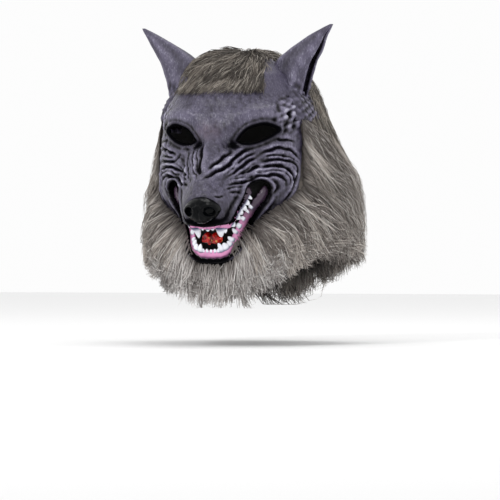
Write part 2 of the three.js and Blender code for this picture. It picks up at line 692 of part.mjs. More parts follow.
// Direction into the mask, square to the face, eased over the ridges
function faceInward(x, z) {
  const ease = RIDGE_RADIUS;
  const across = (faceSurfaceY(x + ease, z) - faceSurfaceY(x - ease, z)) / (2 * ease);
  const up = (faceSurfaceY(x, z + ease) - faceSurfaceY(x, z - ease)) / (2 * ease);
  return new THREE.Vector3(-across, 1, -up).normalize();
}

// Line of a lip, from one corner to the other: points on the face, the way into the mask and the way to the teeth
function lipLine(upper) {
  const rows = upper ? MOUTH_OUTLINE.slice(0, UPPER_LIP_ROWS).reverse() : MOUTH_OUTLINE.slice(LOWER_LIP_START);
  const half = rows.map(mouthPoint);
  const outline = [...half, ...half.slice(0, -1).map(([x, z]) => [-x, z]).reverse()];
  const curve = new THREE.CatmullRomCurve3(outline.map(([x, z]) => new THREE.Vector3(x, faceSurfaceY(x, z), z)));
  return (share) => {
    const point = curve.getPointAt(share);
    const back = faceInward(point.x, point.z);
    const toTeeth = back.clone().cross(curve.getTangentAt(share)).normalize();
    if (upper) toTeeth.negate();
    return { point, back, toTeeth };
  };
}

// Band along a lip: inset from the lip's edge, set back behind the wall
function lipBand(upper, inset, breadth, thickness) {
  const line = lipLine(upper);
  const loops = [];
  for (let n = 0; n <= LIP_STEPS; n += 1) {
    const { point, back, toTeeth } = line(LIP_END_SHARE + ((1 - 2 * LIP_END_SHARE) * n) / LIP_STEPS);
    const centre = point.clone().addScaledVector(toTeeth, inset).addScaledVector(back, GUM_SETBACK);
    const corners = [[-1, 0], [-0.6, -1], [0.6, -1], [1, 0], [0.6, 1], [-0.6, 1]];
    const loop = corners.map(([across, deep]) => centre.clone()
      .addScaledVector(toTeeth, (across * breadth) / 2)
      .addScaledVector(back, (deep * thickness) / 2));
    loops.push(upper ? loop.reverse() : loop);
  }
  return solidFrom(loftLoops(loops));
}

const GUM_SETBACK = LATEX_WALL * 1.5 + FIT_GAP + GUM_THICKNESS / 2;

// Gum of one jaw, kept behind the latex
function gumBand(upper, inset, inside) {
  const band = lipBand(upper, inset, GUM_BREADTH, GUM_THICKNESS);
  return mainBody(band.intersect(inside));
}

// Teeth of one jaw: cones standing on a thin strip just inside the gum
function teeth(upper, gumInset, canineShare) {
  const line = lipLine(upper);
  const gumEdge = gumInset + GUM_BREADTH / 2;
  const clear = 2 * FIT_GAP;
  const gum = lipBand(upper, gumInset, GUM_BREADTH + clear, GUM_THICKNESS + clear);
  const inset = gumEdge + FIT_GAP + TOOTH_STRIP_BREADTH / 2;
  let row = lipBand(upper, inset, TOOTH_STRIP_BREADTH, TOOTH_STRIP_THICKNESS);
  const spacing = (1 - 2 * FIRST_TOOTH_SHARE) / (TEETH_PER_JAW - 1);
  for (let n = 0; n < TEETH_PER_JAW; n += 1) {
    const share = FIRST_TOOTH_SHARE + spacing * n;
    const canine = Math.abs(Math.abs(share - 0.5) - canineShare) < spacing / 2;
    const length = canine ? CANINE_LENGTH : TOOTH_LENGTH;
    const radius = canine ? TOOTH_RADIUS * CANINE_SWELL : TOOTH_RADIUS;
    const cone = new THREE.ConeGeometry(radius, length, 5);
    const { point, back, toTeeth } = line(share);
    const turn = new THREE.Quaternion().setFromUnitVectors(new THREE.Vector3(0, 1, 0), toTeeth);
    cone.applyQuaternion(turn);
    const centre = point.clone().addScaledVector(toTeeth, gumEdge + FIT_GAP + length / 2);
    centre.addScaledVector(back, GUM_SETBACK);
    cone.translate(centre.x, centre.y, centre.z);
    row = row.add(solidFrom(cone));
  }
  return mainBody(row.subtract(gum));
}

// Depth of the liner: the face eased towards a plane
const linerY = (x, z, setback) => (
  faceSurfaceY(x, z) * (1 - LINER_FLATNESS) - LINER_FLATNESS * FACE_DEPTH + setback
);

// Dark liner closing the mouth behind the teeth
function mouthLiner(inside) {
  const low = -MOUTH_TOP_DROP - (1 + LINER_OVERLAP / 3) * MOUTH_HEIGHT;
  const high = -MOUTH_TOP_DROP + LINER_OVERLAP * MOUTH_HEIGHT;
  const sheet = (setback) => solidFrom(backedGrid(LINER_COLUMNS, LINER_ROWS, (i, j) => {
    const x = (2 * i - 1) * HEAD_HALF_WIDTH;
    const z = low + (high - low) * j;
    return new THREE.Vector3(x, linerY(x, z, setback), z);
  }, FACE_DEPTH));
  const cloth = sheet(LINER_SETBACK).subtract(sheet(LINER_SETBACK + CLOTH_WALL));
  return mainBody(cloth.intersect(inside).intersect(latexWindow(-FIT_GAP)));
}

function tongue() {
  const geometry = new THREE.SphereGeometry(1, 12, 8);
  geometry.scale(TONGUE_HALF_WIDTH, TONGUE_HALF_DEPTH, TONGUE_HEIGHT / 2);
  const z = -MOUTH_TOP_DROP - TONGUE_SHARE * MOUTH_HEIGHT;
  geometry.translate(0, linerY(0, z, LINER_SETBACK) - TONGUE_HALF_DEPTH - TONGUE_CLEARANCE, z);
  return solidFrom(geometry);
}

const finish = (color, roughness) => new THREE.MeshStandardMaterial({ color, roughness, metalness: 0 });
const LATEX = finish(0x645f6e, 0.45);
const NOSE_PAINT = finish(0x17171a, 0.2);
const GUM_PAINT = finish(0xd98cbe, 0.35);
const TOOTH_PAINT = finish(0xe9ecf0, 0.3);
const TONGUE_PAINT = finish(0xa81e16, 0.4);
const DARK_CLOTH = finish(0x151416, 0.9);
const HOOD_CLOTH = finish(0x3a3632, 0.9);
const FUR = finish(0x8a7f73, 0.8);

const mask = new THREE.Group();

function addPiece(name, solid, material) {
  const mesh = new THREE.Mesh(geometryOf(solid), material);
  mesh.name = name;
  mask.add(mesh);
}

const outside = faceBlock(FACE_COLUMNS, FACE_ROWS, FIT_GAP, 4);
const inside = faceBlock(LINING_COLUMNS, LINING_ROWS, -LATEX_WALL - FIT_GAP, 4);
const seat = headSolid(CLOTH_WALL + FIT_GAP);

addPiece('latex_face', latexFace(), LATEX);
addPiece('ear_left', earSolid(1, seat), LATEX);
addPiece('ear_right', earSolid(-1, seat), LATEX);
addPiece('nose_pad', nosePad(outside), NOSE_PAINT);
addPiece('upper_gum', gumBand(true, UPPER_GUM_INSET, inside), GUM_PAINT);
addPiece('lower_gum', gumBand(false, LOWER_GUM_INSET, inside), GUM_PAINT);
addPiece('upper_teeth', teeth(true, UPPER_GUM_INSET, UPPER_CANINE_SHARE), TOOTH_PAINT);
addPiece('lower_teeth', teeth(false, LOWER_GUM_INSET, LOWER_CANINE_SHARE), TOOTH_PAINT);
addPiece('tongue', tongue(), TONGUE_PAINT);
addPiece('mouth_liner', mouthLiner(inside), DARK_CLOTH);
addPiece('cloth_hood', clothHood(), HOOD_CLOTH);
addPiece('mane_fur', maneFur([earEnvelope(1), earEnvelope(-1)]), FUR);

export default mask;
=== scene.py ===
"""Looks of a werewolf mask: latex face, ears, teeth and a mane of fur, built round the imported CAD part.

Sizes are millimetres in the shared frame (+Z up, the face looks along -Y) and become metres in each mesh.
"""

import logging
import math
from dataclasses import dataclass, field
from enum import Enum

import bpy
import numpy as np
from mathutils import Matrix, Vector


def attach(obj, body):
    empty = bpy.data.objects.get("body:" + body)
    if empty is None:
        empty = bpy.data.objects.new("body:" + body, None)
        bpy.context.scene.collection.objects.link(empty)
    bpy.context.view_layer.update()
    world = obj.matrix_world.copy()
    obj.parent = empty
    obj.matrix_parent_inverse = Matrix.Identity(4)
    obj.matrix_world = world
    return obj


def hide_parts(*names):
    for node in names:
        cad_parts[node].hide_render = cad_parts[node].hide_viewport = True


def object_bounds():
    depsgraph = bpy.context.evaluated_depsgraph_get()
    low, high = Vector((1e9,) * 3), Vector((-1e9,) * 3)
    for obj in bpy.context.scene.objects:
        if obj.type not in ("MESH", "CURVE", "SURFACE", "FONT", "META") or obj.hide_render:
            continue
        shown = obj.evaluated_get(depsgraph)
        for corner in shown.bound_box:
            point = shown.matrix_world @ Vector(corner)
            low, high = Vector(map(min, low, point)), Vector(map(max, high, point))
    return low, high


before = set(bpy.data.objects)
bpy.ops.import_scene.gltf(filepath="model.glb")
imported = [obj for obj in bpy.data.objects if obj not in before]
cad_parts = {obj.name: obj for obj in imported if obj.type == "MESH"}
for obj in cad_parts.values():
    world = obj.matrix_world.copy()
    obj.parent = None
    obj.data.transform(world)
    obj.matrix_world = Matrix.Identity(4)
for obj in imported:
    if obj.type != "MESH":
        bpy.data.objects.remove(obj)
cad_low, cad_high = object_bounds()

LOG = logging.getLogger("mask")
METRES = 0.001
TINY = 1e-9
Array = np.ndarray
Rows = tuple[tuple[float, ...], ...]
Colour = tuple[int, int, int]
Piece = bpy.types.Object
Material = bpy.types.Material
Socket = bpy.types.NodeSocket


class Side(Enum):
    """The two sides of the mask, as the sign of X."""

    LEFT = 1
    RIGHT = -1


# Curves, noise and meshes


def along(rows: Rows, column: int, at: Array | float) -> Array:
    """Reads a column of a table as a smooth curve.

    Each row is a knot of a cubic Hermite curve. The slope at a knot is the slope between its neighbours.

    Args:
        rows: table whose first column rises and is the key.
        column: number of the column to read.
        at: keys to read at, held inside the table.

    Returns:
        The values, in the shape of `at`.
    """
    table = np.asarray(rows, dtype=float)
    keys = table[:, 0]
    values = table[:, column]
    last = len(keys) - 1
    before = np.maximum(np.arange(last + 1) - 1, 0)
    after = np.minimum(np.arange(last + 1) + 1, last)
    slopes = (values[after] - values[before]) / (keys[after] - keys[before])
    at = np.clip(np.asarray(at, dtype=float), keys[0], keys[-1])
    i = np.clip(np.searchsorted(keys, at, side="right") - 1, 0, last - 1)
    span = keys[i + 1] - keys[i]
    t = (at - keys[i]) / span
    rest = 1 - t
    return (
        values[i] * rest * rest * (1 + 2 * t)
        + values[i + 1] * t * t * (3 - 2 * t)
        + slopes[i] * span * t * rest * rest
        - slopes[i + 1] * span * t * t * rest
    )


def smooth_max(a: Array, b: Array, blend: float) -> Array:
    """Larger of two values, rounded over where they meet."""
    return (a + b + np.hypot(a - b, blend)) / 2


def smoothstep(at: Array, low: float, high: float) -> Array:
    """Rises from 0 at `low` to 1 at `high` with level ends; falls when `low` is the larger."""
    t = np.clip((np.asarray(at, dtype=float) - low) / (high - low), 0, 1)
    return t * t * (3 - 2 * t)


def bell(distance: Array, width: float | Array) -> Array:
    """Bell curve of height 1: exp(-(distance / width)^2)."""
    return np.exp(-((distance / width) ** 2))


def spot(across: Array, up: Array, centre: tuple[float, float], size: tuple[float, float]) -> Array:
    """Soft oval spot of height 1 at `centre`, with half sizes `size`."""
    return np.exp(-(((across - centre[0]) / size[0]) ** 2) - ((up - centre[1]) / size[1]) ** 2)


def turned_away(turn: Array) -> Array:
    """Turn from the face towards either side, 0 to 180 degrees."""
    return np.abs((np.asarray(turn) + 180) % 360 - 180)


def waves(points: Array, length: float, seed: int, count: int = 7) -> Array:
    """Smooth noise in space.

    The sum of `count` sine waves in seeded directions, with wavelengths spread round `length`,
    scaled so that it stays mostly within -1 and 1.

    Args:
        points: places, shape (..., 3).
        length: mean wavelength in mm.
        seed: seed of the directions and phases.
        count: number of waves.

    Returns:
        The noise at each place.
    """
    rng = np.random.default_rng(seed)
    total = np.zeros(points.shape[:-1])
    for _ in range(count):
        direction = rng.normal(size=3)
        direction *= 2 * math.pi / (length * rng.uniform(0.7, 1.6) * np.linalg.norm(direction))
        total += np.sin(points @ direction + rng.uniform(0, 2 * math.pi))
    return total / math.sqrt(2 * count)


def blurred(grid: Array, cells: int) -> Array:
    """Box blur of a grid, done twice in each direction, with the edges repeated."""
    for _ in range(2):
        for axis in (0, 1):
            pad = [(cells, cells) if axis == n else (0, 0) for n in (0, 1)]
            wide = np.pad(grid, pad, mode="edge")
            total = np.cumsum(wide, axis=axis)
            total = np.insert(total, 0, 0, axis=axis)
            window = 2 * cells + 1
            size = grid.shape[axis]
            high = np.take(total, np.arange(size) + window, axis=axis)
            low = np.take(total, np.arange(size), axis=axis)
            grid = (high - low) / window
    return grid


def unit(vectors: Array) -> Array:
    """Vectors scaled to length 1."""
    return vectors / np.maximum(np.linalg.norm(vectors, axis=-1, keepdims=True), TINY)


def resampled(path: Array, count: int) -> Array:
    """Points evenly spaced along a path of points."""
    steps = np.linalg.norm(np.diff(path, axis=0), axis=1)
    length = np.concatenate([[0], np.cumsum(steps)])
    at = np.linspace(0, length[-1], count)
    return np.stack([np.interp(at, length, path[:, n]) for n in range(path.shape[1])], axis=1)


def smooth_path(knots: Array, count: int) -> Array:
    """Smooth curve through knots, as `count` evenly spaced points."""
    keys = np.arange(len(knots), dtype=float)
    at = np.linspace(0, len(knots) - 1, 12 * len(knots))
    columns = [along(tuple(zip(keys, knots[:, n])), 1, at) for n in range(knots.shape[1])]
    return resampled(np.stack(columns, axis=1), count)


def nearest_on_path(points: Array, path: Array) -> tuple[Array, Array, Array]:
    """Nearest place on a path of straight pieces.

    Each point is projected on each piece, held to the piece's ends, and the nearest is kept.

    Args:
        points: places, shape (n, k).
        path: points of the path, shape (m, k).

    Returns:
        The distance, the share of the path (0 to 1) at which the nearest place lies, and that place.
    """
    best = np.full(len(points), np.inf)
    share = np.zeros(len(points))
    nearest = np.zeros_like(points)
    for n, start in enumerate(path[:-1]):
        step = path[n + 1] - start
        t = np.clip(((points - start) @ step) / max(step @ step, TINY), 0, 1)
        foot = start + t[:, None] * step
        gap = np.linalg.norm(points - foot, axis=1)
        nearer = gap < best
        best = np.where(nearer, gap, best)
        share = np.where(nearer, (n + t) / (len(path) - 1), share)
        nearest = np.where(nearer[:, None], foot, nearest)
    return best, share, nearest


def inside_outline(points: Array, outline: Array) -> Array:
    """True for places in the plane that lie inside a closed outline (even-odd crossings)."""
    inside = np.zeros(len(points), dtype=bool)
    x, z = points[:, 0], points[:, 1]
    for start, end in zip(outline, np.roll(outline, -1, axis=0)):
        crosses = (start[1] > z) != (end[1] > z)
        rise = end[1] - start[1]
        at = start[0] + (z - start[1]) * (end[0] - start[0]) / (rise if rise else TINY)
        inside ^= crosses & (x < at)
    return inside


def outline_distance(points: Array, outline: Array) -> tuple[Array, Array]:
    """Signed distance to a closed outline, negative inside, and the nearest place on it."""
    best, _, nearest = nearest_on_path(points, np.concatenate([outline, outline[:1]]))
    return np.where(inside_outline(points, outline), -best, best), nearest


def grid_quads(rows: int, columns: int, wrap: bool = False) -> Array:
    """Quads of a grid of rows and columns; `wrap` joins the last column to the first."""
    across = np.arange(columns if wrap else columns - 1)
    down = np.arange(rows - 1)[:, None]
    right = (across + 1) % columns
    first = down * columns + across
    second = down * columns + right
    return np.stack([first, first + columns, second + columns, second], axis=-1).reshape(-1, 4)


def linear(rgb: tuple[int, int, int]) -> tuple[float, float, float]:
    """Screen colour of 0 to 255 as linear light."""
    shares = [c / 255 for c in rgb]
    return tuple(c / 12.92 if c <= 0.04045 else ((c + 0.055) / 1.055) ** 2.4 for c in shares)


def blend(first: Colour, second: Colour, share: Array) -> Array:
    """Colours from the first screen colour to the second, as linear light, by a share for each point."""
    low, high = np.array(linear(first)), np.array(linear(second))
    return low + (high - low) * share[:, None]


def crowned(points: Array, top: float) -> tuple[Array, Array]:
    """Points of a wrapped grid with one more at the crown, and the triangles from it to the first row."""
    columns = points.shape[1]
    ring = np.arange(columns)
    flat = np.concatenate([points.reshape(-1, 3), [(0, 0, top)]])
    return flat, np.stack([(ring + 1) % columns, ring, np.full(columns, len(flat) - 1)], axis=1)


def add_mesh(name: str, points: Array, quads: Array, triangles: Array | None = None) -> Piece:
    """Adds a smooth-shaded mesh object at the origin.

    Args:
        name: name of the object.
        points: vertices in mm, shape (n, 3).
        quads: vertex numbers of the quads, shape (m, 4).
        triangles: vertex numbers of the triangles, shape (k, 3).

    Returns:
        The new object.
    """
    mesh = bpy.data.meshes.new(name)
    triangles = np.zeros((0, 3), dtype=int) if triangles is None else triangles
    loops = np.concatenate([quads.ravel(), triangles.ravel()]).astype(np.int32)
    sizes = np.concatenate([np.full(len(quads), 4), np.full(len(triangles), 3)])
    starts = np.concatenate([[0], np.cumsum(sizes)[:-1]]).astype(np.int32)
    mesh.vertices.add(len(points))
    mesh.vertices.foreach_set("co", (points * METRES).astype(np.float32).ravel())
    mesh.loops.add(len(loops))
    mesh.loops.foreach_set("vertex_index", loops)
    mesh.polygons.add(len(sizes))
    mesh.polygons.foreach_set("loop_start", starts)
    mesh.polygons.foreach_set("use_smooth", np.ones(len(sizes), dtype=bool))
    mesh.update(calc_edges=True)
    mesh.validate()
    piece = bpy.data.objects.new(name, mesh)
    bpy.context.collection.objects.link(piece)
    return piece


def add_trimmed(name: str, points: Array, quads: Array, triangles: Array) -> tuple[Piece, Array]:
    """Adds a mesh of only the points that its faces use; also returns their numbers."""
    used = np.unique(np.concatenate([quads.ravel(), triangles.ravel()]))
    number = np.full(len(points), -1)
    number[used] = np.arange(len(used))
    return add_mesh(name, points[used], number[quads], number[triangles]), used


def add_tint(piece: Piece, name: str, colours: Array) -> None:
    """Gives a mesh a colour for each vertex, shape (n, 3), in linear light."""
    layer = piece.data.color_attributes.new(name, "FLOAT_COLOR", "POINT")
    rgba = np.concatenate([colours, np.ones((len(colours), 1))], axis=1)
    layer.data.foreach_set("color", rgba.astype(np.float32).ravel())


def grey_paint(level: Array) -> Array:
    """Paint of plain latex: levels of grey with no blush and nothing wet."""
    level = np.clip(level, 0, 1).ravel()
    return np.stack([level, 0 * level, 0 * level], axis=1)


def thicken(piece: Piece, wall: float) -> None:
    """Gives an open sheet a wall of `wall` mm behind its outer face."""
    modifier = piece.modifiers.new("wall", "SOLIDIFY")
    modifier.thickness = wall * METRES
    modifier.offset = -1
    modifier.use_even_offset = False


def tube(
    path: Array, across: Array, out: Array, half_across: Array, half_out: Array, sides: int
) -> tuple[Array, Array]:
    """Tube of oval section along a path.

    A ring of `sides` points stands round each path point in the plane of `across` and `out`.

    Args:
        path: centres, shape (n, 3).
        across: unit direction of the first half size at each centre.
        out: unit direction of the second half size at each centre.
        half_across: first half size at each centre.
        half_out: second half size at each centre.
        sides: points in a ring.

    Returns:
        The points, the last two being the middles of the ends for `tube_caps`, and the quads.
    """
    angle = np.linspace(0, 2 * math.pi, sides, endpoint=False)
    rings = (
        path[:, None]
        + across[:, None] * (np.cos(angle)[:, None] * half_across[:, None, None])
        + out[:, None] * (np.sin(angle)[:, None] * half_out[:, None, None])
    )
    points = np.concatenate([rings.reshape(-1, 3), path[:1], path[-1:]])
    return points, grid_quads(len(path), sides, wrap=True)


def ball(rows: int, columns: int) -> Array:
    """Unit ball with its poles on the Y axis, shape (rows, columns, 3)."""
    down = np.linspace(0, math.pi, rows)[:, None]
    turn = np.linspace(0, 2 * math.pi, columns, endpoint=False)[None]
    round_y = np.sin(down)
    return np.stack([round_y * np.cos(turn), -np.cos(down) + 0 * turn, round_y * np.sin(turn)], axis=-1)


def tube_caps(count: int, sides: int) -> Array:
    """Triangles that close both ends of a tube with `count` rings."""
    ring = np.arange(sides)
    after = (ring + 1) % sides
    low = np.stack([ring, after, np.full(sides, count * sides)], axis=1)
    base = (count - 1) * sides
    high = np.stack([base + after, base + ring, np.full(sides, count * sides + 1)], axis=1)
    return np.concatenate([low, high])


def outward(piece: Piece) -> None:
    """Turns all faces of a closed mesh outwards."""
    mesh = piece.data
    mesh.calc_loop_triangles()
    corners = np.zeros(len(mesh.loop_triangles) * 3, dtype=np.int32)
    mesh.loop_triangles.foreach_get("vertices", corners)
    places = np.zeros(len(mesh.vertices) * 3, dtype=np.float32)
    mesh.vertices.foreach_get("co", places)
    a, b, c = places.reshape(-1, 3)[corners].reshape(-1, 3, 3).transpose(1, 0, 2)
    volume = float(np.einsum("ij,ij->i", a, np.cross(b, c)).sum())
    if volume < 0:
        mesh.flip_normals()


# Finishes


# Numbers of the sockets of a Mix node that mixes colours
MIX_FIRST, MIX_SECOND, MIX_RESULT = 6, 7, 2


class Shader:
    """A material with its main shader and short ways to add nodes."""

    def __init__(self, name: str) -> None:
        self.material = bpy.data.materials.new(name)
        self.material.use_nodes = True
        self.tree = self.material.node_tree
        self.main = self.tree.nodes["Principled BSDF"]

    def put(self, node: bpy.types.Node, **values: float) -> None:
        """Sets inputs of a node by name (underscores stand for spaces)."""
        for key, value in values.items():
            node.inputs[key.replace("_", " ")].default_value = value

    def add(self, kind: str, **values: float) -> bpy.types.Node:
        """Adds a node and sets its inputs by name."""
        node = self.tree.nodes.new(kind)
        self.put(node, **values)
        return node

    def join(self, source: Socket, target: Socket) -> None:
        """Links two sockets."""
        self.tree.links.new(source, target)

    def noise(self, scale: float, detail: float, stretch: tuple = (1, 1, 1)) -> Socket:
        """Noise on object coordinates, `scale` per metre, each axis stretched."""
        place = self.add("ShaderNodeTexCoord")
        mapping = self.add("ShaderNodeMapping", Scale=stretch)
        noise = self.add("ShaderNodeTexNoise", Scale=scale, Detail=detail)
        self.join(place.outputs["Object"], mapping.inputs["Vector"])
        self.join(mapping.outputs["Vector"], noise.inputs["Vector"])
        return noise.outputs["Fac"]

    def ramp(self, source: Socket, stops: tuple) -> Socket:
        """Colour ramp with (place, screen colour) stops."""
        node = self.add("ShaderNodeValToRGB")
        elements = node.color_ramp.elements
        while len(elements) < len(stops):
            elements.new(0.5)
        for element, (at, rgb) in zip(elements, stops):
            element.position = at
            element.color = (*linear(rgb), 1)
        self.join(source, node.inputs["Fac"])
        return node.outputs["Color"]

    def mix(self, share: Socket, first: Socket, second: Colour) -> Socket:
        """Mix of a colour and a screen colour."""
        node = self.tree.nodes.new("ShaderNodeMix")
        node.data_type = "RGBA"
        self.join(share, node.inputs["Factor"])
        self.join(first, node.inputs[MIX_FIRST])
        node.inputs[MIX_SECOND].default_value = (*linear(second), 1)
        return node.outputs[MIX_RESULT]

    def maths(self, operation: str, first: Socket, second: Socket | float) -> Socket:
        """Result of a sum, product or other operation, clamped to 0 and 1."""
        node = self.tree.nodes.new("ShaderNodeMath")
        node.operation = operation
        node.use_clamp = True
        self.join(first, node.inputs[0])
        if isinstance(second, (int, float)):
            node.inputs[1].default_value = second
        else:
            self.join(second, node.inputs[1])
        return node.outputs[0]

    def gained(self, source: Socket, gain: tuple[float, float]) -> Socket:
        """Source less the first number, times the second."""
        return self.maths("MULTIPLY", self.maths("SUBTRACT", source, gain[0]), gain[1])

    def attribute(self, name: str) -> bpy.types.Node:
        """Reads an attribute of the mesh."""
        node = self.add("ShaderNodeAttribute")
        node.attribute_name = name
        return node

    def bump(self, source: Socket, height: float, strength: float) -> None:
        """Adds bump of `height` mm on top of any bump that is there."""
        node = self.add("ShaderNodeBump", Strength=strength, Distance=height * METRES)
        self.join(source, node.inputs["Height"])
        socket = self.main.inputs["Normal"]
        if socket.is_linked:
            self.join(socket.links[0].from_socket, node.inputs["Normal"])
        self.join(node.outputs["Normal"], socket)


@dataclass(frozen=True)
class LatexFinish:
    """Painted latex: dark in the creases, as dark wash and as painted shade, and light where it was
    dry-brushed.
    """

    name: str
    roughness: float = 0.33
    # Greys from the creases to the ridges; the two darkest are the dark wash in the creases and also painted
    # shade there
    crease: Colour = (13, 12, 15)
    shade: Colour = (33, 30, 38)
    skin: Colour = (66, 61, 81)
    worn: Colour = (104, 98, 122)
    brushed: Colour = (172, 171, 188)
    blush: Colour = (112, 92, 106)
    black: Colour = (7, 7, 9)
    # noise: scale per metre, detail, stretch
    mottle: tuple = (70, 5)
    grain: tuple = (420, 4)
    streaks: tuple = (260, 4, (1.6, 1.6, 0.5))
    strokes: tuple = (620, 3, (1.5, 1.5, 0.45))
    mottle_share: float = 0.10
    streak_share: float = 0.16
    grain_share: float = 0.3
    # least value and gain of the brush strokes and of the raised places that take them
    stroke_gain: tuple = (0.54, 6.0)
    raised_gain: tuple = (0.33, 2.2)
    level_gloss: float = 1.1
    wet_gloss: float = 0.4
    wet_smooth: float = 0.28

    def material(self) -> Material:
        """Builds the material; attribute "paint" holds cavity in red, blush in green, wet black in blue."""
        shader = Shader(self.name)
        split = shader.add("ShaderNodeSeparateColor")
        shader.join(shader.attribute("paint").outputs["Color"], split.inputs["Color"])
        cavity, blush, wet = (split.outputs[name] for name in ("Red", "Green", "Blue"))
        grain = shader.noise(*self.grain)
        streaks = shader.noise(*self.streaks)
        mottle = shader.maths("MULTIPLY", shader.noise(*self.mottle), self.mottle_share)
        level = shader.maths("ADD", cavity, mottle)
        level = shader.maths("ADD", level, shader.maths("MULTIPLY", streaks, self.streak_share))
        level = shader.maths("SUBTRACT", level, (self.mottle_share + self.streak_share) / 2)
        # Low levels give the dark of the creases: dark wash and painted shade together
        greys = (self.crease, self.shade, self.skin, self.worn, self.brushed)
        colour = shader.ramp(level, tuple(zip((0.0, 0.24, 0.45, 0.66, 1.0), greys)))
        strokes = shader.gained(shader.noise(*self.strokes), self.stroke_gain)
        raised = shader.gained(level, self.raised_gain)
        colour = shader.mix(shader.maths("MULTIPLY", strokes, raised), colour, self.brushed)
        colour = shader.mix(blush, colour, self.blush)
        colour = shader.mix(wet, colour, self.black)
        shader.join(colour, shader.main.inputs["Base Color"])
        rough = shader.maths("MULTIPLY", grain, self.grain_share)
        rough = shader.maths("ADD", rough, self.roughness - self.grain_share / 2)
        rough = shader.maths("SUBTRACT", rough, shader.maths("MULTIPLY", wet, self.wet_smooth))
        shader.join(rough, shader.main.inputs["Roughness"])
        gloss = shader.maths("MULTIPLY", level, self.level_gloss)
        gloss = shader.maths("SUBTRACT", gloss, shader.maths("MULTIPLY", wet, self.wet_gloss))
        shader.join(gloss, shader.main.inputs["Specular IOR Level"])
        shader.bump(streaks, 1.2, 0.7)
        shader.bump(grain, 0.5, 0.7)
        return shader.material


@dataclass(frozen=True)
class Finish:
    """Finish in one colour, or in the colours of attribute "tint" where no colour is given."""

    name: str
    colour: Colour | None = None
    roughness: float = 0.25
    shine: float = 0.5
    grain: tuple = (250, 3)
    height: float = 0.3
    strength: float = 0.6

    def material(self) -> Material:
        """Builds the material, with a fine grain as bump unless its height is 0."""
        shader = Shader(self.name)
        if self.colour is None:
            shader.join(shader.attribute("tint").outputs["Color"], shader.main.inputs["Base Color"])
        else:
            shader.put(shader.main, Base_Color=(*linear(self.colour), 1))
        shader.put(shader.main, Roughness=self.roughness, Specular_IOR_Level=self.shine)
        if self.height:
            shader.bump(shader.noise(*self.grain), self.height, self.strength)
        return shader.material


def dress(piece: Piece, material: Material, slot: str, *nodes: str) -> None:
    """Gives a piece its finish and lets it stand for CAD nodes."""
    piece.data.materials.append(material)
    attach(piece, "root")
    if nodes:
        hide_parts(*nodes)
    LOG.info("%s: %d faces", piece.name, len(piece.data.polygons))


# The form that all pieces follow


